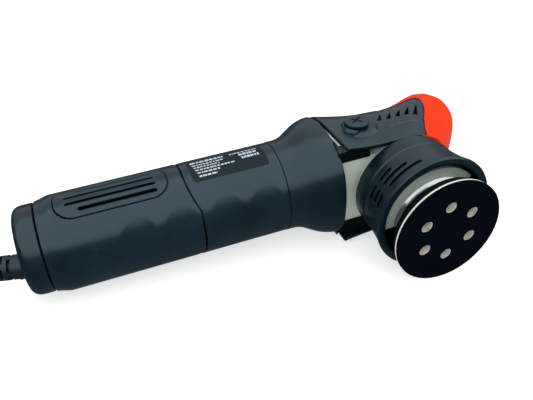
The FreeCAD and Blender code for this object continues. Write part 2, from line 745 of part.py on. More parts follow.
def handle_plugs():
    """Cross-slotted screw plugs in the two side-handle sockets."""
    plugs = []
    for side in (0, 180):
        head = rod(Z_DIR, 37.6, PLUG_TOP, PLUG_HEAD_R, (*PLUG_XY, 0))
        head = round_edges(head, 1.0, circle_edge(Z_DIR, PLUG_TOP, PLUG_HEAD_R))
        shank = rod(Z_DIR, 26, 38, PLUG_SHANK_R, (*PLUG_XY, 0))
        body = head.fuse(shank)
        for turn in (0, 90):
            slot = block(-4.2, 4.2, -0.8, 0.8, PLUG_TOP - 2, PLUG_TOP + 1)
            slot.rotate(Vector(0, 0, 0), Z_DIR, turn + 20)
            slot.translate(Vector(*PLUG_XY, 0))
            body = body.cut(slot)
        if side:
            body = body.mirror(Vector(0, 0, 0), Z_DIR)
        plugs.append(body)
    return group(plugs)


# ------------------------------------------------------------------- skirt

def skirt_slots():
    """Three rows of curved vent slots on both rear quarters."""
    rows = ((-52.4, ((127.5, 144), (149.5, 166))),
            (-57.9, ((113.5, 143.5), (149.5, 164))),
            (-63.6, ((102.5, 140.5), (150.5, 165))))
    cutters = []
    for y, spans in rows:
        for low, high in spans:
            for sign in (1, -1):
                cutters.append(sector(Y_DIR, y - SKIRT_SLOT_W / 2, y + SKIRT_SLOT_W / 2, 45, 30,
                                      sign * (low + high) / 2, high - low))
    return cutters


def skirt():
    """Flared rubber shroud gripped on the bearing cover."""
    body = turned([
        (SKIRT_TOP_Y, 31.5), (SKIRT_TOP_Y, SKIRT_NECK_R), (-48, SKIRT_NECK_R + 0.2), (-57, 37.7),
        (-64, 38.9), (-70.5, 40.6), (-71.4, SKIRT_RIM_R), (SKIRT_RIM_Y, SKIRT_RIM_R - 0.3),
        (SKIRT_RIM_Y, SKIRT_LIP_R), (-70.6, SKIRT_LIP_R), (-69.2, 37.6), (-60, 35.6),
        (-48, 33.9), (-40, 33.5), (-37.3, 33.5), (-37.3, 31.5),
    ], Y_DIR)
    for cutter in skirt_slots():
        body = body.cut(cutter)
    return body


# -------------------------------------------------------------- orbit and pad

def eccentric_hub():
    """Hub under the spindle's table: its pocket holds the pad's bearings off centre."""
    centre = offset_centre()
    body = rod(Y_DIR, -66, -45, 15.2, centre)
    body = body.cut(rod(Y_DIR, -70, -50, 12.0, centre))
    return body.cut(rod(Y_DIR, -60, -40, 6.0, centre))


def counterweight():
    """Crescent that balances the pad, opposite the offset."""
    centre = offset_centre()
    direction = PAD_OFFSET_DEG + 180
    outer = sector(Y_DIR, -67, -56, 35.6, 15.25, direction, 140)
    step = sector(Y_DIR, -69, -66.9, 30.3, 15.25, direction, 132)
    body = outer.fuse(step).removeSplitter()
    body.translate(Vector(*centre))
    return body


def pad_bearings():
    centre = offset_centre()
    return group([ball_bearing(-57.4, -50.4, 12.0, ARBOR_R + RUN_FIT, Y_DIR, centre),
                  ball_bearing(-65.0, -58.0, 12.0, ARBOR_R + RUN_FIT, Y_DIR, centre)])


def bearing_clip():
    return ring(Y_DIR, -66, -65.2, 11.98, 9.5, offset_centre())


def pad_arbor():
    """Pad's own short shaft, carried by the two bearings."""
    body = turned([(-48.6, 0), (-48.6, ARBOR_R), (-67.2, ARBOR_R), (-67.2, 8.0), (-71.5, 8.0),
                   (-71.5, ARBOR_R), (-79.5, ARBOR_R), (-79.5, 0)], Y_DIR)
    body.translate(Vector(*offset_centre()))
    return body


def pad_holes():
    """Six dust holes through the pad's layers."""
    hole = rod(Y_DIR, -100, -60, PAD_HOLE_R, (PAD_HOLE_PCD_R, 0, 0))
    step = 360 / PAD_HOLES
    return copies_round(hole, Y_DIR, [-(PAD_HOLE_PHASE_DEG + k * step) for k in range(PAD_HOLES)])


def pad_layer(points):
    body = turned(points, Y_DIR)
    for hole in pad_holes():
        body = body.cut(hole)
    body.translate(Vector(*offset_centre()))
    return body


def backing_plate():
    """Stiff plate with a raised ring, screwed on the arbor."""
    return pad_layer([(-71.5, 0), (-71.5, 11.5), (-74.2, 11.5), (-74.2, 24.2), (-71.2, 24.2),
                      (-71.2, BACK_RING_R), (-76.6, BACK_RING_R), (-77.4, 33.8), (-79.5, 33.8),
                      (-79.5, 0)]).cut(rod(Y_DIR, -80, -70, ARBOR_R, offset_centre()))


def pad_foam():
    return pad_layer([(-79.5, 0), (-79.5, 34.6), (-80.5, 34.9), (-85.2, PAD_R - 0.2), (-85.2, 0)])


def hook_layer():
    return pad_layer([(-85.2, 0), (-85.2, PAD_R), (PAD_FACE_Y, PAD_R), (PAD_FACE_Y, 0)])


# ------------------------------------------------------------------ mains lead

def laid_down(point):
    """Point of the tool frame as it lies on the floor, floor at zero height."""
    turn = Rotation(Y_DIR, -TILT_DEG)
    return turn.multVec(Vector(*point)) - Vector(0, 0, FLOOR_Z)


def cord_guard():
    """Tapered bend protector: a collar in the cap, then a ribbed cone turned aside."""
    collar = rod(X_DIR, CAP_BACK_X + WALL + 0.5, CAP_BACK_X + WALL + 4, 8.4)
    throat = rod(X_DIR, CAP_BACK_X, CAP_BACK_X + WALL + 1, 6.9)
    foot = rod(X_DIR, CAP_BACK_X - 3, CAP_BACK_X, GUARD_R + 0.2)
    cone = turned([(CAP_BACK_X - 1, 0), (CAP_BACK_X - 1, GUARD_R), (CAP_BACK_X - 12, GUARD_R),
                   (CAP_BACK_X - GUARD_LENGTH, GUARD_TIP_R), (CAP_BACK_X - GUARD_LENGTH, 0)], X_DIR)
    notch = ring(X_DIR, -1.1, 1.1, 9.0, 4.9)
    keep = fuse_all(copies_round(block(-3, 3, 0, 12, -1.4, 1.4), X_DIR, (0, 90, 180, 270)))
    notch = notch.cut(keep)
    for k in range(8):
        slit = turned_about(notch, X_DIR, 45 * (k % 2))
        slit.translate(Vector(CAP_BACK_X - 6.4 - 4.6 * k, 0, 0))
        cone = cone.cut(slit)
    cone = turned_about(cone, Z_DIR, -GUARD_YAW_DEG, (CAP_BACK_X, 0, 0))
    cone = cone.cut(block(CAP_BACK_X, CAP_BACK_X + 20, -20, 20, -20, 20))
    body = fuse_all([collar, throat, foot, cone])
    body.translate(Vector(0, GUARD_Y, 0))
    return body


def guard_tip():
    """Centre of the bend protector's end, as it lies on the floor."""
    yaw = math.radians(GUARD_YAW_DEG)
    reach = GUARD_LENGTH
    return laid_down((CAP_BACK_X - reach * math.cos(yaw), GUARD_Y + reach * math.sin(yaw), 0))




def on_coil(angle_deg, radius, height):
    angle = math.radians(angle_deg)
    return Vector(COIL_CENTRE[0] + radius * math.cos(angle),
                  COIL_CENTRE[1] + radius * math.sin(angle), height)


def tube_along(points, name):
    """Round tube of straight runs joined by arcs as large as the runs allow."""
    edges = []
    here = points[0]
    radii = []
    length = 0.0
    for before, corner, after in zip(points, points[1:], points[2:]):
        back = (before - corner).normalize()
        ahead = (after - corner).normalize()
        half_turn = (math.pi - back.getAngle(ahead)) / 2
        shorter = min((before - corner).Length, (after - corner).Length)
        reach = 0.45 * shorter
        radius = reach / math.tan(half_turn)
        start = corner + back * reach
        end = corner + ahead * reach
        inward = (back + ahead).normalize()
        middle = corner + inward * (radius / math.cos(half_turn) - radius)
        edges.append(Part.LineSegment(here, start).toShape())
        edges.append(Part.Arc(start, middle, end).toShape())
        radii.append(radius)
        length += (start - here).Length + 2 * radius * half_turn
        here = end
    edges.append(Part.LineSegment(here, points[-1]).toShape())
    length += (points[-1] - here).Length
    profile = Part.Circle(points[0], points[1] - points[0], CORD_D / 2).toShape()
    tube = Part.Wire(edges).makePipeShell([Part.Wire(profile)], True, False)
    expected = math.pi * (CORD_D / 2) ** 2 * length
    print(name, "length %.1f" % length, "volume ratio %.4f" % (tube.Volume / expected),
          "radii", [round(r) for r in radii])
    return tube


def lead_route():
    outer_turn = COIL_MID_R + CORD_D
    top = CORD_D / 2 + 3 * LAYER_RISE
    return [guard_tip()] + [Vector(*p) for p in LEAD_POINTS] + [on_coil(90, outer_turn, top)]


def tail_route():
    return [on_coil(*p) for p in TAIL_POLAR]


def cord_lead():
    return tube_along(lead_route(), "cord_lead")


def cord_tail():
    return tube_along(tail_route(), "cord_tail")


def cord_coil():
    """Outer shape of the wound coil, four layers of nested turns."""
    wide = COIL_MID_R + 2 * CORD_D
    slim = COIL_MID_R + 1.5 * CORD_D
    hole = COIL_MID_R - 2 * CORD_D
    slim_hole = COIL_MID_R - 1.5 * CORD_D
    top = CORD_D + 3 * LAYER_RISE
    body = turned([(0.05, hole), (0.05, wide), (CORD_D + 2 * LAYER_RISE, wide), (top, slim),
                   (top, slim_hole), (CORD_D + 2 * LAYER_RISE, hole)], Z_DIR)
    body.translate(Vector(*COIL_CENTRE, 0))
    return body


def on_plug(shape):
    """Moves a shape drawn along +X from the origin to the end of the tail."""
    last, end = tail_route()[-2:]
    yaw = math.degrees(math.atan2(end.y - last.y, end.x - last.x))
    shape.rotate(Vector(0, 0, 0), Z_DIR, yaw)
    shape.translate(end)
    return shape


def plug_body():
    """Flat two-pin plug lying beside the coil."""
    half = PLUG_WIDTH / 2
    neck = CORD_D / 2 + 2.4
    outline = [Vector(0, -neck, 0), Vector(PLUG_LENGTH * 0.45, -half * 0.62, 0),
               Vector(PLUG_LENGTH * 0.72, -half, 0), Vector(PLUG_LENGTH, -half, 0),
               Vector(PLUG_LENGTH, half, 0), Vector(PLUG_LENGTH * 0.72, half, 0),
               Vector(PLUG_LENGTH * 0.45, half * 0.62, 0), Vector(0, neck, 0)]
    body = Part.Face(Part.makePolygon(outline + [outline[0]])).extrude(Vector(0, 0, PLUG_THICK))
    body.translate(Vector(0, 0, -PLUG_THICK / 2))
    body = round_edges(body, 2.4, lambda e: abs(abs(e.CenterOfMass.z) - PLUG_THICK / 2) < 0.01
                       and e.CenterOfMass.x > 0.1)
    return on_plug(body)


def plug_pins():
    pins = []
    for side in (-1, 1):
        pin = rod(X_DIR, PLUG_LENGTH, PLUG_LENGTH + PIN_LENGTH, PIN_R, (0, side * PIN_SPACING / 2, 0))
        pins.append(round_edges(pin, 1.2, circle_edge(X_DIR, PLUG_LENGTH + PIN_LENGTH, PIN_R)))
    return on_plug(group(pins))


# ------------------------------------------------------------------ assembly

UPRIGHT_NODES = {
    "rear_housing": rear_housing, "front_housing": front_housing, "rear_cap": rear_cap,
    "vent_panel_left": lambda: vent_panel(0), "vent_panel_right": lambda: vent_panel(180),
    "bumper_sleeve": bumper_sleeve, "label_plate": label_plate,
    "switch_slide": slide_switch, "speed_dial": speed_dial, "speed_board": speed_board,
    "switch_body": switch_body, "noise_filter": noise_filter,
    "stator_core": stator_core, "field_coils": field_coils,
    "armature_shaft": armature_shaft, "armature_core": armature_core,
    "armature_windings": armature_windings, "commutator": commutator,
    "cooling_fan": cooling_fan, "fan_baffle": fan_baffle,
    "rear_bearing": lambda: ball_bearing(-213.5, -206.5, 11.0, 3.5 + RUN_FIT),
    "front_bearing": lambda: ball_bearing(-69, -61, 13.0, 5.0 + RUN_FIT),
    "bearing_cup": bearing_cup, "brush_holders": brush_holders, "brushes": brushes,
    "brush_springs": brush_springs, "pinion": pinion, "crown_gear": crown_gear,
    "spindle": spindle, "gear_retainer": gear_retainer,
    "upper_bearing": lambda: ball_bearing(8.4, 14.4, 9.5, 4.0 + RUN_FIT, Y_DIR),
    "lower_bearing": lambda: ball_bearing(-35.6, -27.6, 14.0, 6.0 + RUN_FIT, Y_DIR),
    "gear_case": gear_case, "case_screws": case_screws, "bearing_cover": bearing_cover,
    "cover_screws": cover_screws, "side_cover_left": lambda: side_cover(1),
    "side_cover_right": lambda: side_cover(-1), "palm_grip": palm_grip,
    "handle_plugs": handle_plugs, "skirt": skirt, "eccentric_hub": eccentric_hub,
    "counterweight": counterweight, "pad_bearings": pad_bearings, "bearing_clip": bearing_clip,
    "pad_arbor": pad_arbor, "backing_plate": backing_plate, "pad_foam": pad_foam,
    "hook_layer": hook_layer, "cord_guard": cord_guard,
}
FLOOR_NODES = {
    "cord_lead": cord_lead, "cord_coil": cord_coil, "cord_tail": cord_tail,
    "plug_body": plug_body, "plug_pins": plug_pins,
}


def main():
    os.makedirs("parts", exist_ok=True)
    lay = Placement(Vector(0, 0, -FLOOR_Z), Rotation(Y_DIR, -TILT_DEG)).toMatrix()
    own = {name: make().transformed(lay, True) for name, make in UPRIGHT_NODES.items()}
    box = Part.makeCompound(list(own.values())).optimalBoundingBox()
    print("box", box, "nodes", len(own))
    centring = Matrix()
    centring.move(Vector(-(box.XMin + box.XMax) / 2, -(box.YMin + box.YMax) / 2, -box.ZMin))
    print("origin shift", centring.A14, centring.A24, centring.A34)
    laid = {name: make() for name, make in FLOOR_NODES.items()}
    for name, shape in {**own, **laid}.items():
        shape.transformed(centring, True).exportStep("parts/" + name + ".step")


main()
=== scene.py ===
import json
import math

import bpy
import numpy as np
from mathutils import Matrix


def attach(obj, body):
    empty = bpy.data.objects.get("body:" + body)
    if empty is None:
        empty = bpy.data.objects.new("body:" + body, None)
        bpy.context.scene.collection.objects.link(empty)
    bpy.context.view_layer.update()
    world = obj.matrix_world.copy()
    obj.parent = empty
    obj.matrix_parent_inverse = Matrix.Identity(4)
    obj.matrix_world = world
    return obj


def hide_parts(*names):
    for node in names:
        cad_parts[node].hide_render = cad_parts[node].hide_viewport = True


# Corded mini polisher with an orbiting pad, lying on its side on a pale table
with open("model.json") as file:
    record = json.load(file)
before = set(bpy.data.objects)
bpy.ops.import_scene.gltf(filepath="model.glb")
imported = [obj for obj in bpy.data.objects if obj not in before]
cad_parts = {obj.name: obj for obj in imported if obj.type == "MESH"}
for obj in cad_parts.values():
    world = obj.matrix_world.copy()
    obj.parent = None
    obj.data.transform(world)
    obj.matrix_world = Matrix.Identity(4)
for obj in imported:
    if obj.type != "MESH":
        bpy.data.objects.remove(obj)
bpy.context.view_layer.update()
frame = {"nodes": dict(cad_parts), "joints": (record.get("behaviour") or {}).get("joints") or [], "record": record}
nodes = frame["nodes"]
print("frame loaded:", len(nodes), "nodes")


# the tool's own axes: spindle crosses barrel at the origin, x to the nose,
# y away from the pad, z to the side that lies uppermost; millimetres
joints = {joint["name"]: joint for joint in frame["joints"]}
toolOrigin = np.array(joints["spindle_spin"]["pos_m"])
toolX = np.array(joints["armature_spin"]["axis"], float)
toolX = toolX / np.linalg.norm(toolX)
toolY = np.array([0.0, 1.0, 0.0])
toolZ = np.cross(toolX, toolY)
toolAxes = np.array([toolX, toolY, toolZ])
padAxis = (np.array(joints["pad_spin"]["pos_m"]) - toolOrigin) @ toolAxes.T * 1000


def toFrame(points):
    # millimetres on the tool's axes to metres in the model
    return toolOrigin + np.asarray(points, float) @ toolAxes / 1000


# camera and light

cameraSettings = {
    "place": (-0.10036, -0.30023, 0.27215),
    "aim": (0.0394, 0.06672, -0.00391),
    "rollDeg": 0.31,
    "lensMm": 40.46,
    "sensorMm": 36.0,
}


def addCamera(settings):
    data = bpy.data.cameras.new("camera")
    data.lens = settings["lensMm"]
    data.sensor_width = settings["sensorMm"]
    data.clip_start = 0.01
    camera = bpy.data.objects.new("camera", data)
    bpy.context.scene.collection.objects.link(camera)
    place = np.array(settings["place"])
    back = place - np.array(settings["aim"])
    back = back / np.linalg.norm(back)
    right = np.cross([0, 0, 1.0], back)
    right = right / np.linalg.norm(right)
    up = np.cross(back, right)
    roll = math.radians(settings["rollDeg"])
    turnedRight = right * math.cos(roll) - up * math.sin(roll)
    turnedUp = right * math.sin(roll) + up * math.cos(roll)
    matrix = np.eye(4)
    matrix[:3, 0] = turnedRight
    matrix[:3, 1] = turnedUp
    matrix[:3, 2] = back
    matrix[:3, 3] = place
    camera.matrix_world = Matrix([list(row) for row in matrix])
    bpy.context.scene.camera = camera
    return camera


addCamera(cameraSettings)

# cord: leaves the tail through a bend protector, runs to a neat coil and ends in a plug

cordSettings = {
    "diameterMm": 7.4,
    # where the part's floor frame sits in the model, millimetres
    "shift": (110.8238, 23.4, 0.0455),
    "exit": (-296.27, -2.47, 28.31),
    "lead": [(-318.8, 2.0, 27.5), (-338.4, 5.6, 26.0), (-359.2, 7.5, 24.3)],
    "coilMiddle": (-380.0, -44.0),
    # height and turn radii of each layer, from the top down
    "layers": [(22.9, (51.8, 44.4, 37.0)), (16.5, (33.3, 40.7, 48.1, 55.5)),
               (10.1, (51.8, 44.4, 37.0)), (3.8, (33.3, 40.7, 48.1, 55.5))],
    "crossingDeg": (195.0, 245.0),
    "joinDeg": 90.0,
    "leaveDeg": 150.0,
    "stepDeg": 12.0,
    # angle, radius and height of the run out to the plug
    "tail": [(168, 57.2, 3.8), (186, 61.4, 3.9), (203, 68.6, 4.8), (218, 76.8, 6.6)],
}


def cordLine(settings):
    # turns keep their radius and step to the next one between the crossing angles
    turns = [(height, radius) for height, radii in settings["layers"] for radius in radii]
    low, high = settings["crossingDeg"]
    last = (len(turns) - 1) * 360 + settings["leaveDeg"]
    angle = np.arange(settings["joinDeg"], last + 0.1, settings["stepDeg"])
    angle = np.append(angle[:-1], last)
    turn = np.floor(angle / 360 - low / 360 + 1).astype(int)
    part = np.clip((angle - low - (turn - 1) * 360) / (high - low), 0, 1)
    part = part * part * (3 - 2 * part)
    table = np.array(turns)
    now = np.clip(turn, 0, len(turns) - 1)
    before = np.clip(turn - 1, 0, len(turns) - 1)
    height, radius = (table[before] + (table[now] - table[before]) * part[:, None]).T
    middle = settings["coilMiddle"]
    coil = np.stack([middle[0] + radius * np.cos(np.radians(angle)),
                     middle[1] + radius * np.sin(np.radians(angle)), height], axis=-1)
    tail = np.array(settings["tail"])
    end = np.stack([middle[0] + tail[:, 1] * np.cos(np.radians(tail[:, 0])),
                    middle[1] + tail[:, 1] * np.sin(np.radians(tail[:, 0])), tail[:, 2]], axis=-1)
    line = np.vstack([[settings["exit"]], settings["lead"], coil, end])
    return (line + settings["shift"]) / 1000


def addCord(settings):
    line = cordLine(settings)
    data = bpy.data.curves.new("cord", "CURVE")
    data.dimensions = "3D"
    # the points carry the tube's radius, so the curve's box stays tight
    data.bevel_depth = 1.0
    data.bevel_resolution = 5
    data.resolution_u = 3
    data.use_fill_caps = True
    spline = data.splines.new("NURBS")
    spline.points.add(len(line) - 1)
    spline.points.foreach_set("co", np.c_[line, np.ones(len(line))].ravel())
    spline.points.foreach_set("radius", np.full(len(line), settings["diameterMm"] / 2000))
    spline.order_u = 3
    spline.use_endpoint_u = True
    cord = bpy.data.objects.new("cord", data)
    bpy.context.scene.collection.objects.link(cord)
    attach(cord, "housing")
    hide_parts("cord_lead", "cord_coil", "cord_tail")
    return cord


cord = addCord(cordSettings)

# light

lightSettings = {
    "roomStrength": 0.12,
    # name, place, size, brightness: large soft ceiling, its far half dimmer
    "ceiling": [("ceilingNear", (0.0, -1.15, 1.2), (8.0, 3.9), 1.45),
                ("ceilingFar", (0.0, 3.4, 1.2), (8.0, 5.2), 0.5)],
}


def addLights(settings):
    for name, place, size, brightness in settings["ceiling"]:
        data = bpy.data.lights.new(name, "AREA")
        data.shape = "RECTANGLE"
        data.size, data.size_y = size
        data.energy = brightness * math.pi * size[0] * size[1]
        lamp = bpy.data.objects.new(name, data)
        bpy.context.scene.collection.objects.link(lamp)
        lamp.location = place
    world = bpy.data.worlds.new("dimRoom")
    world.use_nodes = True
    sky = world.node_tree.nodes["Background"]
    sky.inputs["Color"].default_value = (0.9, 0.97, 1.0, 1.0)
    sky.inputs["Strength"].default_value = settings["roomStrength"]
    bpy.context.scene.world = world


addLights(lightSettings)
bpy.context.scene.view_settings.view_transform = "Standard"


# materials

def linear(hexText):
    # sRGB hex text to linear red, green, blue, one
    values = np.array([int(hexText[i:i + 2], 16) for i in (0, 2, 4)]) / 255
    curve = np.where(values <= 0.04045, values / 12.92, ((values + 0.055) / 1.055) ** 2.4)
    return (*[float(v) for v in curve], 1.0)


def addNode(tree, kind, settings=None, links=None):
    # settings: property or input name to value; links: input name to an output socket
    node = tree.nodes.new(kind)
    for key, value in (settings or {}).items():
        if key in node.inputs.keys():
            node.inputs[key].default_value = value
        else:
            setattr(node, key, value)
    for key, socket in (links or {}).items():
        tree.links.new(socket, node.inputs[key])
    return node


def newMaterial(name, shaderSettings):
    material = bpy.data.materials.new(name)
    material.use_nodes = True
    tree = material.node_tree
    shader = tree.nodes["Principled BSDF"]
    for key, value in shaderSettings.items():
        shader.inputs[key].default_value = value
    place = addNode(tree, "ShaderNodeTexCoord").outputs["Object"]
    return material, tree, shader, place


def spread(tree, factor, low, high):
    # two hex colours mixed by a factor socket
    ramp = addNode(tree, "ShaderNodeValToRGB", links={"Fac": factor})
    ramp.color_ramp.elements[0].color = linear(low)
    ramp.color_ramp.elements[1].color = linear(high)
    return ramp


def sparkTexturedNylon(name, low, high, roughness, grainMm=0.55, bump=0.12, ior=1.6,
                       tint=(0.62, 0.88, 1.0, 1.0)):
    # moulded glass-filled nylon with a spark-eroded finish: satin, finely pebbled,
    # with small brighter specks and faint cloudiness from handling
    material, tree, shader, place = newMaterial(name, {"IOR": ior, "Roughness": roughness,
                                                       "Specular Tint": tint})
    grain = addNode(tree, "ShaderNodeTexNoise", {"Scale": 1000 / grainMm / 3, "Detail": 3.0},
                    {"Vector": place})
    cloud = addNode(tree, "ShaderNodeTexNoise", {"Scale": 28.0, "Detail": 4.0}, {"Vector": place})
    tone = addNode(tree, "ShaderNodeMix", {"data_type": "FLOAT", "Factor": 0.35},
                   {"A": cloud.outputs["Fac"], "B": grain.outputs["Fac"]})
    colour = spread(tree, tone.outputs["Result"], low, high)
    colour.color_ramp.elements[0].position = 0.3
    colour.color_ramp.elements[1].position = 0.7
    tree.links.new(colour.outputs["Color"], shader.inputs["Base Color"])
    rough = addNode(tree, "ShaderNodeMapRange",
                    {"To Min": roughness - 0.05, "To Max": roughness + 0.08}, {"Value": cloud.outputs["Fac"]})
    tree.links.new(rough.outputs["Result"], shader.inputs["Roughness"])
    bumpNode = addNode(tree, "ShaderNodeBump", {"Strength": bump, "Distance": 0.0002},
                       {"Height": grain.outputs["Fac"]})
    tree.links.new(bumpNode.outputs["Normal"], shader.inputs["Normal"])
    return material


def turnedMetal(name, low, high, roughness, scratchMm=0.4, bump=0.05):
    # bare metal: bright, with fine machining lines and slight dulling in patches
    material, tree, shader, place = newMaterial(name, {"Metallic": 1.0, "Roughness": roughness})
    stretch = addNode(tree, "ShaderNodeMapping", {"Scale": (1.0, 9.0, 1.0)}, {"Vector": place})
    lines = addNode(tree, "ShaderNodeTexNoise", {"Scale": 1000 / scratchMm / 4, "Detail": 2.0},
                    {"Vector": stretch.outputs["Vector"]})
    cloud = addNode(tree, "ShaderNodeTexNoise", {"Scale": 60.0, "Detail": 3.0}, {"Vector": place})
    colour = spread(tree, cloud.outputs["Fac"], low, high)
    tree.links.new(colour.outputs["Color"], shader.inputs["Base Color"])
    rough = addNode(tree, "ShaderNodeMapRange",
                    {"To Min": max(roughness - 0.08, 0.04), "To Max": roughness + 0.1},
                    {"Value": lines.outputs["Fac"]})
    tree.links.new(rough.outputs["Result"], shader.inputs["Roughness"])
    bumpNode = addNode(tree, "ShaderNodeBump", {"Strength": bump, "Distance": 0.0001},
                       {"Height": lines.outputs["Fac"]})
    tree.links.new(bumpNode.outputs["Normal"], shader.inputs["Normal"])
    return material


def castMetal(name, low, high, roughness):
    # die-cast aluminium, bead blasted: pale grey, dull, with a fine sandy skin
    material, tree, shader, place = newMaterial(name, {"Metallic": 0.15, "Roughness": roughness})
    sand = addNode(tree, "ShaderNodeTexNoise", {"Scale": 1400.0, "Detail": 3.0}, {"Vector": place})
    cloud = addNode(tree, "ShaderNodeTexNoise", {"Scale": 45.0, "Detail": 4.0}, {"Vector": place})
    colour = spread(tree, cloud.outputs["Fac"], low, high)
    tree.links.new(colour.outputs["Color"], shader.inputs["Base Color"])
    rough = addNode(tree, "ShaderNodeMapRange", {"To Min": roughness - 0.05, "To Max": roughness + 0.1},
                    {"Value": sand.outputs["Fac"]})
    tree.links.new(rough.outputs["Result"], shader.inputs["Roughness"])
    bumpNode = addNode(tree, "ShaderNodeBump", {"Strength": 0.25, "Distance": 0.0002},
                       {"Height": sand.outputs["Fac"]})
    tree.links.new(bumpNode.outputs["Normal"], shader.inputs["Normal"])
    return material


def openFoam(name, low, high):
    # cut foam: matt, off-white, with small open cells
    material, tree, shader, place = newMaterial(name, {"Roughness": 0.95, "IOR": 1.45})
    cells = addNode(tree, "ShaderNodeTexVoronoi", {"Scale": 1400.0}, {"Vector": place})
    cloud = addNode(tree, "ShaderNodeTexNoise", {"Scale": 80.0, "Detail": 3.0}, {"Vector": place})
    colour = spread(tree, cloud.outputs["Fac"], low, high)
    tree.links.new(colour.outputs["Color"], shader.inputs["Base Color"])
    bumpNode = addNode(tree, "ShaderNodeBump", {"Strength": 0.5, "Distance": 0.0004},
                       {"Height": cells.outputs["Distance"]})
    tree.links.new(bumpNode.outputs["Normal"], shader.inputs["Normal"])
    rough = addNode(tree, "ShaderNodeMapRange", {"To Min": 0.85, "To Max": 1.0},
                    {"Value": cells.outputs["Distance"]})
    tree.links.new(rough.outputs["Result"], shader.inputs["Roughness"])
    return material


def hookFabric(name, low, high, rowMm=1.15):
    # woven hook fastener: near black, rows of tiny hooks that read as a fine
    # diagonal rib; the rows are drawn a little coarser than real so they show
    material, tree, shader, place = newMaterial(name, {"Roughness": 0.9, "IOR": 1.5,
                                                       "Specular IOR Level": 0.02})
    turn = addNode(tree, "ShaderNodeMapping", {"Rotation": (0.0, math.radians(28), 0.0)}, {"Vector": place})
    rows = addNode(tree, "ShaderNodeTexWave", {"bands_direction": "Z", "Scale": 1000 / rowMm / 20 * 3.14,
                                               "Distortion": 0.6, "Detail": 1.0},
                   {"Vector": turn.outputs["Vector"]})
    hooks = addNode(tree, "ShaderNodeTexNoise", {"Scale": 1500.0, "Detail": 2.0}, {"Vector": place})
    height = addNode(tree, "ShaderNodeMix", {"data_type": "FLOAT", "Factor": 0.5},
                     {"A": rows.outputs["Fac"], "B": hooks.outputs["Fac"]})
    colour = spread(tree, height.outputs["Result"], low, high)
    tree.links.new(colour.outputs["Color"], shader.inputs["Base Color"])
    bumpNode = addNode(tree, "ShaderNodeBump", {"Strength": 0.6, "Distance": 0.0004},
                       {"Height": height.outputs["Result"]})
    tree.links.new(bumpNode.outputs["Normal"], shader.inputs["Normal"])
    rough = addNode(tree, "ShaderNodeMapRange", {"To Min": 0.8, "To Max": 1.0},
                    {"Value": hooks.outputs["Fac"]})
    tree.links.new(rough.outputs["Result"], shader.inputs["Roughness"])
    return material


finishes = {
    "barrelNylon": sparkTexturedNylon("glassFilledNylonSlate", "03111A", "07202D", 0.25),
    "gripRubber": sparkTexturedNylon("softTouchTpeSlate", "030F18", "081D29", 0.28, bump=0.08),
    "skirtRubber": sparkTexturedNylon("mouldedRubberSlate", "030F17", "081B26", 0.3, bump=0.06),
    "orangeTpe": sparkTexturedNylon("softTouchTpeOrange", "E42E02", "F23A05", 0.55, bump=0.06, ior=1.2,
                                    tint=(1.0, 1.0, 1.0, 1.0)),
    # this black finish also serves as painted shade inside the head, skirt and barrel, round the window and under
    # the plugs
    "blackNylonAndPaintedShade": sparkTexturedNylon("mouldedNylonBlackAndPaintedShade", "010203", "040608", 0.6, ior=1.3),
    "cordRubber": sparkTexturedNylon("rubberSheathBlack", "0A1217", "10191F", 0.42, bump=0.1),
    "boardLacquer": sparkTexturedNylon("lacqueredBoardGreen", "1E5B33", "2C7342", 0.35),
    "castAluminium": castMetal("beadBlastedAluminium", "CDD8CC", "DEE7DC", 0.42),
    "weightIron": castMetal("zincedCastWeight", "A3AEA6", "B7C1B9", 0.38),
    "steel": turnedMetal("groundSteel", "A9ACAE", "C9CCCE", 0.22),
    "brightSteel": turnedMetal("polishedTurnedSteel", "C9CCCE", "E8EAEB", 0.1),
    "streakedChrome": turnedMetal("polishedTurnedWeight", "8E979C", "C6CDD0", 0.14, scratchMm=3.0, bump=0.3),
    "laminate": turnedMetal("lacqueredElectricalSteel", "46484B", "5E6164", 0.4),
    "copper": turnedMetal("enamelledCopper", "3A1A0C", "54290F", 0.45),
    "brass": turnedMetal("drawnBrass", "B99650", "D2AE63", 0.28),
    "nickel": turnedMetal("nickelPlatedBrass", "BEBFC0", "DCDDDE", 0.15),
    "foam": openFoam("openCellFoamCream", "D9D5C6", "F1EEE3"),
    "hooks": hookFabric("wovenHookFabricBlack", "010308", "050A15"),
    "labelInk": sparkTexturedNylon("printedInkPale", "AEBBC0", "C4CED2", 0.5, bump=0.02, ior=1.3,
                                   tint=(1.0, 1.0, 1.0, 1.0)),
    "labelFilm": sparkTexturedNylon("satinPolyesterLabel", "0A151B", "101E26", 0.42, bump=0.02, ior=1.3),
}

finishBySlot = {
    "nylon": "barrelNylon", "grip_rubber": "gripRubber", "orange_tpe": "orangeTpe",
    "cast_aluminium": "castAluminium", "skirt_rubber": "skirtRubber", "label_film": "labelFilm",
    "black_plastic": "blackNylonAndPaintedShade", "clear_board": "boardLacquer", "steel": "steel",
    "zinc_steel": "steel", "laminate": "laminate", "copper": "copper", "carbon": "blackNylonAndPaintedShade",
    "brass": "brass", "plated_pin": "nickel", "weight_steel": "weightIron", "foam": "foam",
    "hook_fabric": "hooks", "cord_pvc": "cordRubber",
}


def paint(piece, finish):
    piece.data.materials.clear()
    piece.data.materials.append(finishes[finish])


for entry in frame["record"]["subparts"]:
    paint(nodes[entry["node"]], finishBySlot[entry["material_slot"]])
paint(cord, "cordRubber")
print("materials given to the frame's nodes")


# floor

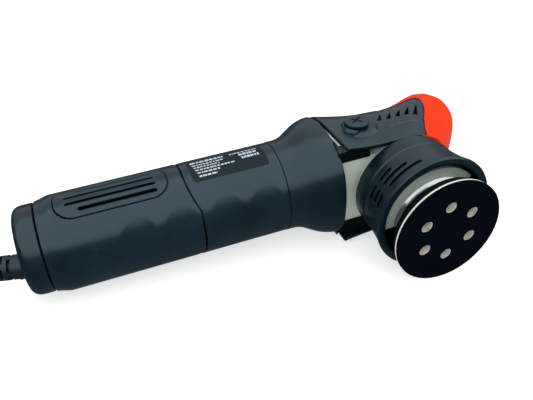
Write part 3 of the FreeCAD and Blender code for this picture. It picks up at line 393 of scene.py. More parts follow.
def addFloor(size, drop):
    data = bpy.data.meshes.new("floor")
    half = size / 2
    data.from_pydata([(-half, -half, drop), (half, -half, drop), (half, half, drop), (-half, half, drop)],
                     [], [(0, 1, 2, 3)])
    floor = bpy.data.objects.new("floor", data)
    bpy.context.scene.collection.objects.link(floor)
    material, tree, shader, place = newMaterial("paleTableTop", {"Roughness": 0.7, "Specular IOR Level": 0.2,
                                                             "Emission Color": (1.0, 1.0, 1.0, 1.0),
                                                             "Emission Strength": 0.62})
    cloud = addNode(tree, "ShaderNodeTexNoise", {"Scale": 3.0}, {"Vector": place})
    colour = spread(tree, cloud.outputs["Fac"], "CDD0D0", "D2D5D5")
    tree.links.new(colour.outputs["Color"], shader.inputs["Base Color"])
    data.materials.append(material)
    # satin plastics would otherwise mirror the white top along their undersides
    floor.visible_glossy = False
    return floor


addFloor(6.0, 0.0)

# surface tools: each takes and gives whole arrays of points in millimetres

def curveThrough(points, count):
    # smooth curve through the points, each span a cubic that keeps the neighbours' slope
    points = np.asarray(points, float)
    run = np.vstack([2 * points[0] - points[1], points, 2 * points[-1] - points[-2]])
    place = np.linspace(0, len(points) - 1 - 1e-9, count)
    span = place.astype(int)
    part = (place - span)[:, None]
    a, b, c, d = (run[span + k] for k in range(4))
    return 0.5 * (2 * b + (c - a) * part + (2 * a - 5 * b + 4 * c - d) * part ** 2
                  + (3 * b - a - 3 * c + d) * part ** 3)


def filleted(corners, step=1.0):
    # straight line through (along, radius, reach) corners, each rounded over its reach
    flat = np.array([corner[:2] for corner in corners], float)
    parts = [flat[:1]]
    for before, (along, radius, reach), after in zip(flat, corners[1:-1], flat[2:]):
        here = np.array([along, radius])
        start = here + (before - here) / np.linalg.norm(before - here) * reach
        end = here + (after - here) / np.linalg.norm(after - here) * reach
        part = np.linspace(0, 1, 7 if reach else 1)[:, None]
        parts.append((1 - part) ** 2 * start + 2 * part * (1 - part) * here + part ** 2 * end)
    line = np.vstack(parts + [flat[-1:]])
    lengths = np.linalg.norm(np.diff(line, axis=0), axis=1)
    counts = np.maximum(np.ceil(lengths / step).astype(int), 1)
    runs = [a + (b - a) * np.arange(n)[:, None] / n for a, b, n in zip(line[:-1], line[1:], counts)]
    return np.vstack(runs + [line[-1:]])


def turned(profile, axis, count=160, centre=(0.0, 0.0)):
    # (along, radius) profile turned about the tool's x or y axis, seam closed by welding
    angle = np.linspace(0, 2 * np.pi, count + 1)
    along = np.repeat(profile[:, :1], count + 1, axis=1)
    across = profile[:, 1:] * np.cos(angle) + centre[0]
    up = profile[:, 1:] * np.sin(angle) + centre[1]
    return np.stack([along, across, up] if axis == "x" else [across, along, up], axis=-1)


def snapped(u, v, signed, step):
    # grid points close to a cut line move onto it, so that the cut edge runs smoothly
    for _ in range(2):
        value = signed(u, v)
        slopeU = (signed(u + 0.01, v) - value) / 0.01
        slopeV = (signed(u, v + 0.01) - value) / 0.01
        shift = np.where(np.abs(value) < 0.7 * step, value, 0)
        u, v = u - shift * slopeU, v - shift * slopeV
    middle = signed((u[1:, 1:] + u[:-1, :-1]) / 2, (v[1:, 1:] + v[:-1, :-1]) / 2)
    return u, v, middle > 0.1 * step


def roundedBox(u, v, centreU, centreV, halfU, halfV, corner):
    # distance to a rounded rectangle, negative inside
    du = np.abs(u - centreU) - (halfU - corner)
    dv = np.abs(v - centreV) - (halfV - corner)
    return np.hypot(np.maximum(du, 0), np.maximum(dv, 0)) + np.minimum(np.maximum(du, dv), 0) - corner


def blended(a, b, soft):
    # smaller of two distances with a rounded crossing
    return -soft * np.logaddexp(-a / soft, -b / soft)


sharpDeg = 38  # creases steeper than this stay crisp


def newPiece(name, grid, finish, stands, body="housing", kept=None, thickness=0.0, inward=False, extras=()):
    # grid: rows by columns of points; kept: which of its cells stay; stands: CAD nodes it replaces
    rows, columns = grid.shape[:2]
    index = np.arange(rows * columns).reshape(rows, columns)
    quads = np.stack([index[:-1, :-1], index[:-1, 1:], index[1:, 1:], index[1:, :-1]], axis=-1)
    quads = quads.reshape(-1, 4) if kept is None else quads[kept]
    points = grid.reshape(-1, 3)
    for extraGrid, extraKept in extras:
        start = len(points)
        more = np.arange(extraGrid.shape[0] * extraGrid.shape[1]).reshape(extraGrid.shape[:2]) + start
        cells = np.stack([more[:-1, :-1], more[:-1, 1:], more[1:, 1:], more[1:, :-1]], axis=-1)
        cells = cells.reshape(-1, 4) if extraKept is None else cells[extraKept]
        quads = np.vstack([quads, cells])
        points = np.vstack([points, extraGrid.reshape(-1, 3)])
    if inward:
        quads = quads[:, ::-1]
    _, first, same = np.unique(np.round(points, 3), axis=0, return_index=True, return_inverse=True)
    quads = same.reshape(-1)[quads]
    used, quads = np.unique(quads, return_inverse=True)
    quads = quads.reshape(-1, 4)
    points = points[first][used]
    faces = [list(dict.fromkeys(quad)) for quad in quads.tolist()]
    faces = [face for face in faces if len(face) > 2]
    data = bpy.data.meshes.new(name)
    data.from_pydata(toFrame(points).tolist(), [], faces)
    data.validate()
    data.polygons.foreach_set("use_smooth", np.ones(len(data.polygons), bool))
    data.set_sharp_from_angle(angle=math.radians(sharpDeg))
    piece = bpy.data.objects.new(name, data)
    bpy.context.scene.collection.objects.link(piece)
    if thickness:
        shell = piece.modifiers.new("wall", "SOLIDIFY")
        shell.thickness = thickness / 1000
        shell.offset = -1
    paint(piece, finish)
    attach(piece, body)
    if stands:
        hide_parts(*stands)
    return piece


# barrel: two shells that meet at a seam, finger dimples low on each side

barrel = {
    "radius": 31.3,
    "backX": -237.5,
    "shoulderDrop": 1.9,
    "shoulderLength": 10.0,
    "frontX": -82.4,
    "seamX": -146.0,
    "seamSlant": 5.0,
    "dimplesX": (-181.0, -154.0, -124.3, -97.5),
    "dimpleDeg": 157.0,
    "dimpleRadius": 10.6,
    "dimpleDepth": 0.95,
    "wall": 2.4,
    "seamHalfGap": 0.45,
    "edgeRoll": 0.7,
}


def seamX(angleDeg):
    # the seam leans forward on the pad's side
    aside = 180 - np.abs((angleDeg % 360) - 180)
    return barrel["seamX"] + barrel["seamSlant"] * np.clip((aside - 105) / 45, 0, 1) ** 2


def barrelRadius(x, angleDeg, low, high):
    # cylinder with a tapered shoulder, round dimples and edges rolled inward at both ends
    ease = 0.5 + 0.5 * np.cos(np.pi * np.clip((x - barrel["backX"]) / barrel["shoulderLength"], 0, 1))
    radius = barrel["radius"] - barrel["shoulderDrop"] * ease
    aside = 180 - np.abs((angleDeg % 360) - 180)
    arc = np.radians(aside - barrel["dimpleDeg"]) * barrel["radius"]
    for dimpleX in barrel["dimplesX"]:
        off = np.hypot(x - dimpleX, arc) / barrel["dimpleRadius"]
        radius = radius - barrel["dimpleDepth"] * np.clip(1 - off ** 2, 0, 1)
    roll = barrel["edgeRoll"]
    near = np.clip(np.minimum(x - low, high - x) / roll, 0, 1)
    return radius - roll * (1 - np.sqrt(1 - (1 - near) ** 2))


def barrelGrid(x, arc, low, high, rise=0.0):
    # x along the tool, arc in millimetres round the nominal radius from the tool's top line
    angle = arc / barrel["radius"]
    radius = barrelRadius(x, np.degrees(angle), low, high) + rise
    return np.stack([x, radius * np.cos(angle), radius * np.sin(angle)], axis=-1)


noEnds = (-1000, 1000)  # ends far off, so nothing rolls inward

panel = {
    "middleX": -191.0,
    "halfX": 35.0,
    "middleDeg": 95.5,
    "halfArc": 14.0,
    "corner": 11.5,
    "gap": 0.35,
    "rise": 0.3,
    "slotRows": 4,
    "slotPitch": 5.8,
    "slotWidth": 2.7,
    "slotEnds": (-219.5, -163.5),
    "outerSlotStart": -212.5,
}
panelArcs = [math.radians(panel["middleDeg"] + turn) * barrel["radius"] for turn in (0, 180)]
dialSlot = {"middleX": -225.5, "halfX": 10.1, "halfArc": 3.4}


def panelOutline(x, arc, grow):
    # distance to the nearer panel's rounded rectangle
    return np.minimum(*[roundedBox(x, arc, panel["middleX"], middle, panel["halfX"] + grow,
                                   panel["halfArc"] + grow, panel["corner"] + grow)
                        for middle in panelArcs])


def aroundArc(step):
    # even steps round the barrel, the seam of the grid a quarter turn from the top line
    full = 2 * math.pi * barrel["radius"]
    return np.linspace(0, full, int(full / step) + 1) - 0.25 * full


def rearShell():
    # barrel surface from the tail to the slanted seam, cut round the panels and the dial
    arcs = aroundArc(0.8)
    across = np.linspace(0, 1, 118)
    start = barrel["backX"]
    arc, part = np.meshgrid(arcs, across)
    end = seamX(np.degrees(arc / barrel["radius"])) - barrel["seamHalfGap"]
    x = start + (end - start) * part
    x[1] = start + 0.2
    x[-2] = end[-2] - 0.2

    def cut(x, arc):
        dial = roundedBox(x, arc, dialSlot["middleX"], 0, dialSlot["halfX"], dialSlot["halfArc"], 1.0)
        return np.minimum(panelOutline(x, arc, panel["gap"]), dial)

    x, arc, kept = snapped(x, arc, cut, 0.8)
    grid = barrelGrid(x, arc, start, seamX(np.degrees(arc / barrel["radius"])) - barrel["seamHalfGap"])
    return newPiece("rearShell", grid, "barrelNylon", ["rear_housing"], kept=kept,
                    thickness=barrel["wall"])


def frontShell():
    # barrel surface from the seam to the bumper
    arcs = aroundArc(0.9)
    arc, part = np.meshgrid(arcs, np.linspace(0, 1, 74))
    start = seamX(np.degrees(arc / barrel["radius"])) + barrel["seamHalfGap"]
    x = start + (barrel["frontX"] - start) * part
    x[1] = start[1] + 0.2
    grid = barrelGrid(x, arc, start, barrel["frontX"] + 5)
    return newPiece("frontShell", grid, "barrelNylon", ["front_housing"], thickness=barrel["wall"])


def ventPanel(name, middleArc, stands):
    # flush insert with four slots, its rim rolled down into the outline gap
    x, arc = np.meshgrid(np.linspace(-1, 1, 150) * panel["halfX"] + panel["middleX"],
                         np.linspace(-1, 1, 62) * panel["halfArc"] + middleArc, indexing="ij")

    def cut(x, arc):
        outline = -roundedBox(x, arc, panel["middleX"], middleArc, panel["halfX"], panel["halfArc"],
                              panel["corner"])
        for row in range(panel["slotRows"]):
            slotArc = middleArc + (row - 1.5) * panel["slotPitch"]
            low, high = panel["slotEnds"]
            low = low if row in (1, 2) else panel["outerSlotStart"]
            slot = roundedBox(x, arc, (low + high) / 2, slotArc, (high - low) / 2,
                              panel["slotWidth"] / 2, panel["slotWidth"] / 2 - 0.05)
            outline = np.minimum(outline, slot)
        return outline

    x, arc, kept = snapped(x, arc, cut, 0.47)
    inside = -roundedBox(x, arc, panel["middleX"], middleArc, panel["halfX"], panel["halfArc"],
                         panel["corner"])
    sink = 0.5 * np.clip(1 - inside / 0.8, 0, 1) ** 2
    grid = barrelGrid(x, arc, *noEnds, panel["rise"] - sink)
    return newPiece(name, grid, "barrelNylon", stands, kept=kept, thickness=2.2)


rearShell()
frontShell()
ventPanel("ventPanelUpper", panelArcs[0], ["vent_panel_left"])
ventPanel("ventPanelLower", panelArcs[1], ["vent_panel_right"])
print("barrel shells and vent panels built")


# rear cap: rubber cup over the tail with its cord inlet

cap = {"backX": -252.0, "frontX": -238.2, "radius": 28.9, "edge": 7.5}


def rearCap():
    # turned cup with one large rounded edge
    profile = filleted([(cap["frontX"], cap["radius"] - 2.6, 0), (cap["frontX"], cap["radius"] - 0.6, 0),
                        (cap["frontX"] - 0.6, cap["radius"], 0), (cap["backX"], cap["radius"], cap["edge"]),
                        (cap["backX"] - 0.4, 0.02, 0)], 0.9)
    grid = turned(profile, "x", 180)
    return newPiece("rearCap", grid, "gripRubber", ["rear_cap"], thickness=1.5, inward=True)


rearCap()

# grip bumper: rubber sleeve that swells to meet the head, squared off at its mouth

bumper = {
    "profile": [(-82.1, 29.8), (-82.1, 31.0), (-81.6, 31.5), (-78, 31.55), (-74, 31.8), (-69.7, 33.0),
                (-65.3, 35.4), (-61, 37.9), (-56.8, 40.0), (-52, 41.5), (-48.6, 42.1), (-46.8, 42.1),
                (-45.7, 41.2), (-45.6, 39.6), (-47.0, 38.2), (-49.0, 36.4)],
    "half": 39.75,
    "squareness": 16.0,
}


def bumperSleeve():
    # turned profile, each ring pressed toward a rounded square by blending two radii
    profile = curveThrough(bumper["profile"], 110)
    angle = np.linspace(0, 2 * np.pi, 241)
    flat = bumper["half"] / np.maximum(np.abs(np.cos(angle)), np.abs(np.sin(angle)))
    power = -bumper["squareness"]
    radius = (profile[:, 1:] ** power + flat ** power) ** (1 / power)
    x = np.repeat(profile[:, :1], len(angle), axis=1)
    grid = np.stack([x, radius * np.cos(angle), radius * np.sin(angle)], axis=-1)
    return newPiece("bumperSleeve", grid, "gripRubber", ["bumper_sleeve"], thickness=0.8)


bumperSleeve()
print("cap and bumper built")

# skirt: rubber shroud round the pad drive, ribbed, with three rows of vent slots

skirt = {
    "profile": [(-33.4, 31.6), (-33.4, 35.6), (-34.0, 36.3), (-39.6, 36.4), (-40.2, 36.9), (-45.6, 37.0),
                (-46.3, 36.6), (-49.0, 36.9), (-57, 37.8), (-64, 39.0), (-68.6, 40.1), (-70.4, 40.7),
                (-71.6, 40.7), (-72.3, 39.9), (-72.3, 36.4), (-71.8, 35.3), (-70.6, 35.2), (-69.6, 36.6)],
    # level, first and last angle of each slot, mirrored to the far side
    "slots": [(-52.4, 127.5, 144), (-52.4, 149.5, 166), (-57.9, 113.5, 143.5), (-57.9, 149.5, 164),
              (-63.6, 102.5, 140.5), (-63.6, 150.5, 165)],
    "slotWidth": 3.0,
    "meanRadius": 38.0,
    # stretch of the finer grid: depth below the spindle's origin, angle from the nose
    "fineY": (50.2, 66.0),
    "fineDeg": (98.0, 170.0),
}


def skirtShell():
    # ribbed profile turned about the spindle, slots cut in the unrolled wall
    line = filleted([(y, r, 0.0) for y, r in skirt["profile"]], 1.0)
    run = np.concatenate([[0], np.cumsum(np.linalg.norm(np.diff(line, axis=0), axis=1))])
    # rows and columns crowd together where the slots are
    top, low = np.interp(skirt["fineY"], -line[:40, 0], run[:40])
    rows = np.concatenate([run[run < top], np.arange(top, low, 0.3), run[run > low + 0.3]])
    fineFrom, fineTo = skirt["fineDeg"]
    turn = np.concatenate([np.linspace(0, fineFrom, 45)[:-1], np.linspace(fineFrom, fineTo, 150),
                           np.linspace(fineTo, 180, 6)[1:]])
    arcs = np.radians(np.concatenate([-turn[:0:-1], turn])) * skirt["meanRadius"]
    run2d, arc = np.meshgrid(rows, arcs, indexing="ij")
    outer = run < run[np.argmax(line[:, 1] * (line[:, 0] < -71))]

    def cut(s, arc):
        level = np.interp(s, run, line[:, 0])
        result = np.full(np.shape(s), 50.0)
        for y, first, last in skirt["slots"]:
            half = math.radians(last - first) / 2 * skirt["meanRadius"]
            middle = math.radians(first + last) / 2 * skirt["meanRadius"]
            slot = roundedBox(level, np.abs(arc), y, middle, skirt["slotWidth"] / 2, half,
                              skirt["slotWidth"] / 2 - 0.05)
            result = np.minimum(result, slot)
        return np.where(s < run[outer].max(), result, 50.0)

    run2d, arc, kept = snapped(run2d, arc, cut, 0.31)
    y = np.interp(run2d, run, line[:, 0])
    radius = np.interp(run2d, run, line[:, 1])
    angle = arc / skirt["meanRadius"]
    grid = np.stack([radius * np.cos(angle), y, radius * np.sin(angle)], axis=-1)
    return newPiece("skirt", grid, "skirtRubber", ["skirt"], kept=kept, thickness=0.7)


skirtShell()
print("skirt built")

# head: two nylon side covers over an orange palm grip that rounds the nose

head = {
    "lowY": -33.0,
    "backX": -42.9,
    "halfWidth": 36.0,
    "backHalfWidth": 38.4,
    # level, nose length, where the flank ends
    "levels": [(-33, 36.5, 0.0), (-24, 42.5, 3.0), (-12, 52.0, 8.0), (0, 63.5, 15.0), (12, 75.0, 23.0),
               (22, 81.0, 28.0), (36, 84.5, 31.0)],
    # station, height of the centre line
    "crest": [(-44, 31.4), (-30, 27.6), (-12, 22.8), (4, 21.4), (16, 23.6), (26, 28.0), (36, 33.4),
              (46, 38.4), (56, 41.2), (66, 39.6), (75, 32.0), (83, 18.0)],
    "poleX": 34.0,
    "boxiness": 5.5,
    "noseBoxiness": 4.2,
    "planRound": 0.84,
    # level and station of the cover's front rim
    "rim": [(-36, 17.5), (-33, 19.6), (-24, 26.0), (-9, 34.3), (0, 37.8), (8, 39.6), (14, 41.0), (20, 42.6),
            (30, 43.5)],
    "gripInset": 0.6,
    "coverWall": 1.8,
    "paintedShadeLinerInset": 3.6,
    # where the covers part on top, how fast, and how far to each side
    "openFromX": -12,
    "openLength": 16,
    "openHalfZ": 33.7,
    # how the outline turns its corner, and how far it steps out behind the opening
    "sideScale": 0.85,
    "cornerBlend": 0.8,
    "behindStep": 8,
}


def headSurface(station, rise, inset=0.0):
    # station 0 to 1 runs along the flank and round to the nose tip, rise 0 to 1 from the low
    # edge over the shoulder to the crest; each level is a straight flank and a quarter ellipse,
    # and the section from edge to crest is a superellipse that is boxy at the flank
    flank = np.clip(station / 0.5, 0, 1)
    turn = np.clip(station / 0.5 - 1, 0, 1) * np.pi / 2
    levels = np.array(head["levels"])
    crest = np.array(head["crest"])
    boxiness = head["boxiness"] + (head["noseBoxiness"] - head["boxiness"]) * np.clip(
        station * 1.9 - 0.75, 0, 1) ** 0.8
    tilt = rise * np.pi / 2
    size = (np.cos(tilt) ** boxiness + np.sin(tilt) ** boxiness) ** (1 / boxiness)
    reach = np.cos(tilt) / size
    lift = np.sin(tilt) / size
    spineX = head["backX"] + (head["poleX"] - head["backX"]) * flank
    y = head["lowY"] + 55 * lift
    for _ in range(6):
        nose = np.interp(y, levels[:, 0], levels[:, 1])
        flankEnd = np.interp(y, levels[:, 0], levels[:, 2])
        outlineX = head["backX"] + (flankEnd - head["backX"]) * flank + (
            nose - flankEnd) * np.sin(turn) ** head["planRound"]
        x = spineX + (outlineX - spineX) * reach
        top = np.interp(x, crest[:, 0], crest[:, 1])
        y = head["lowY"] + (top - head["lowY"]) * lift
    flare = (head["backHalfWidth"] - head["halfWidth"]) * np.clip((-x - 18) / 23.5, 0, 1) ** 1.5
    z = (head["halfWidth"] + flare) * np.cos(turn) ** head["planRound"] * reach
    if inset:
        grow = 1 - inset / 36
        x = np.where(x > 0, x * grow, x)
        y = np.where(y > 0, y - inset, y)
        z = z * grow
    return np.stack([x, y, z], axis=-1)


def rimGap(point):
    # distance inside the cover's outline, from where a point sits on the head
    rim = np.array(head["rim"])
    side = np.interp(point[..., 1], rim[:, 0], rim[:, 1]) - point[..., 0]
    opening = np.clip((point[..., 0] - head["openFromX"]) / head["openLength"], 0, 1)
    over = np.abs(point[..., 2]) - head["openHalfZ"] * np.sqrt(opening)
    over = np.where(point[..., 0] < head["openFromX"], over + head["behindStep"], over)
    return blended(side * head["sideScale"], over, head["cornerBlend"])


def triangleGap(x, y, corners):
    # distance to a triangle's nearest side, negative inside
    corners = np.array(corners, float)
    ahead = np.roll(corners, -1, axis=0)
    gaps = []
    for start, end in zip(corners, ahead):
        along = (end - start) / np.linalg.norm(end - start)
        gaps.append((y - start[1]) * along[0] - (x - start[0]) * along[1])
    return np.maximum.reduce(gaps)


coverMarks = {
    "vents": [[(0.9, 3.0), (-3.2, -6.0), (-6.2, -4.8)], [(8.6, 2.6), (4.0, -6.4), (1.0, -5.2)],
              [(16.7, 3.8), (11.4, -6.0), (8.4, -4.8)], [(24.7, 5.0), (18.5, -6.3), (15.4, -5.1)],
              [(32.8, 6.6), (24.4, -8.4), (21.3, -7.2)]],
    "plug": (-23.3, -6.9),
    "ovalMiddle": (8.6, -21.8),
    "ovalHalf": (12.6, 7.0),
    "ovalDepth": 0.45,
}


def coverGap(point):
    # distance inside the cover's outline and outside its vents
    gap = rimGap(point)
    for vent in coverMarks["vents"]:
        hole = triangleGap(point[..., 0], point[..., 1], vent)
        gap = np.where(point[..., 2] > 30, np.minimum(gap, hole), gap)
    return gap


def sideCover(name, side, stands):
    # head surface trimmed to the cover's outline, with vents, oval field and plug rib
    station, rise = np.meshgrid(np.linspace(0, 0.93, 210), np.linspace(0, 1, 170), indexing="ij")

    def signed(station, rise):
        return coverGap(headSurface(station, rise))

    # the grid is stretched, so cut lines are found by shifting along it in its own units
    for _ in range(3):
        value = signed(station, rise)
        slopeS = (signed(station + 1e-4, rise) - value) / 1e-4
        slopeR = (signed(station, rise + 1e-4) - value) / 1e-4
        steep = np.maximum(slopeS ** 2 + slopeR ** 2, 1e-6)
        near = np.abs(value) < 0.42
        moveS = np.clip(np.where(near, value * slopeS / steep, 0), -0.004, 0.004)
        moveR = np.clip(np.where(near, value * slopeR / steep, 0), -0.006, 0.006)
        station, rise = station - moveS, np.clip(rise - moveR, 0, 1)
    grid = headSurface(station, rise)
    middle = (grid[1:, 1:] + grid[:-1, :-1] + grid[1:, :-1] + grid[:-1, 1:]) / 4
    kept = coverGap(middle) > 0.05
    # shallow oval field and a soft rib that curls round the screw plug
    oval = roundedBox(grid[..., 0], grid[..., 1], *coverMarks["ovalMiddle"], *coverMarks["ovalHalf"], 6.9)
    groove = 0.5 * np.exp(-(oval / 0.45) ** 2) + coverMarks["ovalDepth"] * np.clip(-oval / 1.5, 0, 1)
    plugX, plugY = coverMarks["plug"]
    away = np.hypot(grid[..., 0] - plugX, grid[..., 1] - plugY)
    bearing = np.degrees(np.arctan2(grid[..., 1] - plugY, grid[..., 0] - plugX))
    span = np.exp(-(np.clip(np.abs(bearing + 62) - 38, 0, 90) / 16) ** 2)
    boss = 2.2 * np.clip((15.0 - away) / 2.2, 0, 1) * span
    seat = 1.9 * np.clip((10.2 - away) / 0.8, 0, 1)
    flatPart = np.clip((grid[..., 2] - 30) / 3, 0, 1)
    grid[..., 2] = grid[..., 2] + (np.maximum(boss, seat) - groove) * flatPart
    grid[..., 2] = grid[..., 2] * side
    return newPiece(name, grid, "barrelNylon", stands, kept=kept, thickness=head["coverWall"],
                    inward=side > 0)


def palmGrip():
    # head surface inset a little, both halves joined round the nose, where no cover lies
    along = np.linspace(0.3, 1, 150)
    up = np.linspace(0, 1, 110)
    station, rise = np.meshgrid(along, up, indexing="ij")
    upper = headSurface(station, rise, head["gripInset"])
    lower = upper[::-1].copy()
    lower[..., 2] = -lower[..., 2]
    grid = np.vstack([upper, lower[1:]])
    middle = (grid[1:, 1:] + grid[:-1, :-1]) / 2
    kept = rimGap(middle) < 0.5
    for vent in coverMarks["vents"]:
        kept &= (triangleGap(middle[..., 0], middle[..., 1], vent) > 1.2) | (np.abs(middle[..., 2]) < 28)
    return newPiece("palmGrip", grid, "orangeTpe", ["palm_grip"], kept=kept,
                    thickness=2.0, inward=True)


# height or station, radius and reach of each turned painted-shade liner's corners
paintedShadeLiners = {
    "skirt": [(-36.5, 33.0, 0), (-46.0, 35.2, 0), (-57.0, 36.3, 0), (-66.5, 37.9, 0)],
    "barrel": [(-224.0, 28.4, 0), (-160.0, 28.4, 0)],
}


def headPaintedShadeLiner():
    # dark inner form behind the covers, painted shade so vents and gaps look into shade
    station, rise = np.meshgrid(np.linspace(0.02, 0.9, 70), np.linspace(0.03, 0.97, 50), indexing="ij")
    upper = headSurface(station, rise, head["paintedShadeLinerInset"])
    lower = upper.copy()
    lower[..., 2] = -lower[..., 2]
    newPiece("headPaintedShadeLiner", upper, "blackNylonAndPaintedShade", [], inward=True, thickness=0.8)
    newPiece("headPaintedShadeLinerLower", lower, "blackNylonAndPaintedShade", [], thickness=0.8)


def skirtPaintedShadeLiner():
    # turned sleeve just behind the slots, black as painted shade so the slots look dark inside
    return newPiece("skirtPaintedShadeLiner", turned(filleted(paintedShadeLiners["skirt"], 2.0), "y", 96), "blackNylonAndPaintedShade", [])


def barrelPaintedShadeLiner():
    # turned sleeve just behind the vent panels, black as painted shade so the vents look dark inside
    return newPiece("barrelPaintedShadeLiner", turned(filleted(paintedShadeLiners["barrel"], 8.0), "x", 96), "blackNylonAndPaintedShade", [])


headPaintedShadeLiner()
skirtPaintedShadeLiner()
barrelPaintedShadeLiner()
sideCover("sideCoverUpper", 1, ["side_cover_left"])
sideCover("sideCoverLower", -1, ["side_cover_right"])
palmGrip()
print("head built")

# flat metal strip between bumper and covers, and a dark frame round the case's window that is painted shade

def boxPiece(name, low, high, finish, edge):
    # eight corners in millimetres, edges bevelled
    low, high = np.array(low, float), np.array(high, float)
    pick = np.array([(i & 1, i >> 1 & 1, i >> 2 & 1) for i in range(8)])
    corners = low + (high - low) * pick
    data = bpy.data.meshes.new(name)
    data.from_pydata(toFrame(corners).tolist(), [], [(0, 2, 3, 1), (4, 5, 7, 6), (0, 1, 5, 4),
                                                     (2, 6, 7, 3), (0, 4, 6, 2), (1, 3, 7, 5)])
    piece = bpy.data.objects.new(name, data)
    bpy.context.scene.collection.objects.link(piece)
    rim = piece.modifiers.new("rim", "BEVEL")
    rim.width = edge / 1000
    rim.segments = 3
    paint(piece, finish)
    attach(piece, "housing")
    return piece


for side, word, reach in ((1, "Upper", 38.0), (-1, "Lower", 36.4)):
    near, far = sorted((side * (reach - 1.4), side * reach))
    boxPiece("flange" + word, (-46.4, -26.5, near), (-45.0, 9.0, far), "brightSteel", 0.3)
    near, far = sorted((side * 25.4, side * 32.6))
    # the window frame is painted shade: black plates where the covers and bumper shade the case
    boxPiece("windowPaintedShadeFrame" + word, (-47.0, -29.4, near), (-24.0, -27.4, far), "blackNylonAndPaintedShade", 0.5)
print("trim built")

# rating label: film on the barrel with rows of plain light dashes

label = {
    "middleX": -114.75,
    "halfX": 25.75,
    "middleDeg": 95.3,
    "halfArc": 11.0,
    "corner": 2.2,
    "rise": 0.06,
    "inkRise": 0.1,
    # height round the barrel from the label's middle, dash height, first x, last x, longest dash
    "rows": [(-7.6, 2.6, -23.5, -1.0, 3.6), (-7.8, 1.5, 3.5, 23.0, 2.8), (-3.9, 1.4, -23.0, -2.0, 2.6),
             (-1.2, 1.4, -22.5, -5.0, 2.4), (1.5, 1.4, -22.0, 4.5, 2.8), (4.2, 1.4, -21.5, -6.0, 2.6),
             (7.2, 1.5, -21.0, -9.0, 3.0), (-4.4, 2.6, 9.0, 22.0, 2.6), (-0.6, 2.6, 10.0, 22.0, 2.6)],
    "seed": 4,
}


def labelPlate():
    # rounded rectangle on the barrel with rows of short bars of varied length
    middleArc = math.radians(label["middleDeg"]) * barrel["radius"]
    x, arc = np.meshgrid(np.linspace(-1, 1, 110) * label["halfX"] + label["middleX"],
                         np.linspace(-1, 1, 54) * label["halfArc"] + middleArc, indexing="ij")

    def cut(x, arc):
        return -roundedBox(x, arc, label["middleX"], middleArc, label["halfX"], label["halfArc"],
                           label["corner"])

    x, arc, kept = snapped(x, arc, cut, 0.42)
    plate = newPiece("labelPlate", barrelGrid(x, arc, *noEnds, label["rise"]), "labelFilm",
                     ["label_plate"], kept=kept)
    dashes = []
    random = np.random.default_rng(label["seed"])
    for height, tall, first, last, longest in label["rows"]:
        here = first
        while here < last:
            length = min(longest * random.uniform(0.35, 1.0), last - here)
            part, across = np.meshgrid(np.linspace(0, 1, 3), np.linspace(-0.5, 0.5, 3), indexing="ij")
            dashX = label["middleX"] + here + part * length
            dashArc = middleArc + height + across * tall * random.uniform(0.75, 1.0)
            dashes.append((barrelGrid(dashX, dashArc, *noEnds, label["inkRise"]), None))
            here += length + random.uniform(0.35, 0.8)
    ink = newPiece("labelMarks", dashes[0][0], "labelInk", [], extras=dashes[1:])
    return plate, ink


labelPlate()
print("label built")

# screw plugs: domed disc over a neck painted black as the shadow beneath it, cross recess in its face

plugs = {
    "middle": (-23.3, -6.9),
    "topZ": 41.4,
    "faceR": 7.4,
    # radius and height round the rolled rim, from below
    "rim": [(7.6, 39.3), (8.2, 39.3), (8.5, 39.6), (8.5, 40.6), (8.3, 41.1), (7.9, 41.35)],
    # height and radius of the neck under the disc
    "neck": [(37.9, 7.7), (39.5, 7.7), (39.5, 7.0)],
    "slotHalf": 4.3,
    "slotWidth": 1.7,
    "slotDepth": 1.3,
    "turnDeg": 38.0,
}


def screwPlug(name, side, stands):
    # polar grid: rim rolled under, then a flat face with the cross pressed into it
    rim = np.array(plugs["rim"])
    radii = np.concatenate([rim[:, 0], np.linspace(plugs["faceR"], 0.0, 34)])
    heights = np.concatenate([rim[:, 1], np.full(34, plugs["topZ"])])
    angle = np.linspace(0, 2 * np.pi, 145)
    u = radii[:, None] * np.cos(angle)
    v = radii[:, None] * np.sin(angle)
    turn = math.radians(plugs["turnDeg"])
    a, b = u * math.cos(turn) + v * math.sin(turn), v * math.cos(turn) - u * math.sin(turn)
    half, wide = plugs["slotHalf"], plugs["slotWidth"] / 2
    bars = np.minimum(roundedBox(a, b, 0, 0, half, wide, 0.3), roundedBox(a, b, 0, 0, wide, half, 0.3))
    z = heights[:, None] - plugs["slotDepth"] * np.clip(0.5 - bars / 0.35, 0, 1)
    grid = np.stack([u + plugs["middle"][0], v + plugs["middle"][1], z * side], axis=-1)
    neck = np.array(plugs["neck"])
    ring = np.stack([neck[:, 1:] * np.cos(angle) + plugs["middle"][0],
                     neck[:, 1:] * np.sin(angle) + plugs["middle"][1],
                     np.repeat(neck[:, :1], len(angle), axis=1) * side], axis=-1)
    disc = newPiece(name, grid, "barrelNylon", stands, inward=side < 0)
    # the neck's black is painted shade for the shadow under the disc
    newPiece(name + "Neck", ring, "blackNylonAndPaintedShade", [], inward=side < 0)
    return disc


screwPlug("plugUpper", 1, ["handle_plugs"])
screwPlug("plugLower", -1, [])
print("screw plugs built")

# pad: thin foam on a dark moulded back, hook fabric in front; weight's polished band

pad = {
    "frontY": -85.2,
    "foamBackY": -83.7,
    "plateY": -79.5,
    "frontR": 37.3,
    "holes": 6,
    "holeRadius": 4.2,
    "holeCircle": 18.95,
    "holePhaseDeg": 32.0,
    "skin": [(-83.6, 36.8, 0), (-80.5, 35.9, 0.6), (-77.4, 35.0, 0.4), (-77.35, 26.7, 0)],
}


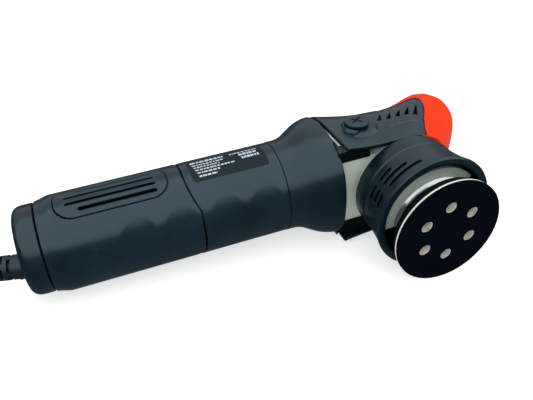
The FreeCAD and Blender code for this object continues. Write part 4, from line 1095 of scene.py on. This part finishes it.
def holeSpots():
    # angle of each dust hole, evenly spaced
    return np.radians(pad["holePhaseDeg"] + np.arange(pad["holes"]) * 360 / pad["holes"])


def holeDistances(u, v):
    # distance to the middle of each dust hole
    return [np.hypot(u - pad["holeCircle"] * np.cos(spot), v - pad["holeCircle"] * np.sin(spot))
            for spot in holeSpots()]


def padFoam():
    # a disc of rings and spokes whose points near a hole move onto its edge, made into a
    # plate by its thickness
    part, turn = np.meshgrid(np.linspace(0, 1, 64), np.linspace(0, 2 * np.pi, 241), indexing="ij")
    u = part * pad["frontR"] * np.cos(turn)
    v = part * pad["frontR"] * np.sin(turn)
    distances = holeDistances(u, v)
    near = np.abs(np.minimum.reduce(distances) - pad["holeRadius"]) < 0.45
    closest = holeSpots()[np.argmin(distances, axis=0)]
    holeU, holeV = pad["holeCircle"] * np.cos(closest), pad["holeCircle"] * np.sin(closest)
    away = np.maximum(np.hypot(u - holeU, v - holeV), 1e-6)
    u = np.where(near, holeU + (u - holeU) / away * pad["holeRadius"], u)
    v = np.where(near, holeV + (v - holeV) / away * pad["holeRadius"], v)
    middle = holeDistances((u[1:, 1:] + u[:-1, :-1]) / 2, (v[1:, 1:] + v[:-1, :-1]) / 2)
    kept = np.minimum.reduce(middle) > pad["holeRadius"] + 0.05
    grid = np.stack([u + padAxis[0], np.full(u.shape, pad["frontY"]), v + padAxis[2]], axis=-1)
    return newPiece("padFoam", grid, "foam", ["pad_foam"], body="pad", kept=kept,
                    thickness=pad["foamBackY"] - pad["frontY"], inward=True)


foam = padFoam()


def padEdge():
    # moulded skin turned about the pad's axis
    profile = filleted(pad["skin"], 0.8)
    return newPiece("padEdge", turned(profile, "y", 192, centre=(padAxis[0], padAxis[2])), "blackNylonAndPaintedShade", [],
                    body="pad", inward=True)


def padHoleWalls():
    # six short tubes, each lining one hole from the foam's back to the plate
    wall = np.array([(y, pad["holeRadius"]) for y in np.linspace(pad["foamBackY"] - 0.1, pad["plateY"], 4)])
    tubes = [(turned(wall, "y", 48, centre=(padAxis[0] + pad["holeCircle"] * np.cos(spot),
                                            padAxis[2] + pad["holeCircle"] * np.sin(spot))), None)
             for spot in holeSpots()]
    return newPiece("padHoleWalls", tubes[0][0], "foam", [], body="pad", extras=tubes[1:])


padEdge()
padHoleWalls()

weightBand = {"profile": [(-68.6, 30.3, 0), (-69.1, 30.2, 0.2), (-72.3, 27.0, 0.2), (-72.4, 26.4, 0)],
              "middleDeg": 111.6, "spanDeg": 130.0}


def polishedBand():
    # cone band turned part of the way about the pad's axis
    profile = filleted(weightBand["profile"], 0.4)
    half = weightBand["spanDeg"] / 2
    angle = np.radians(np.linspace(weightBand["middleDeg"] - half, weightBand["middleDeg"] + half, 140))
    grid = np.stack([profile[:, 1:] * np.cos(angle) + padAxis[0],
                     np.repeat(profile[:, :1], len(angle), axis=1),
                     profile[:, 1:] * np.sin(angle) + padAxis[2]], axis=-1)
    return newPiece("weightBand", grid, "streakedChrome", [], body="spindle_group")


polishedBand()
print("pad and weight band built")
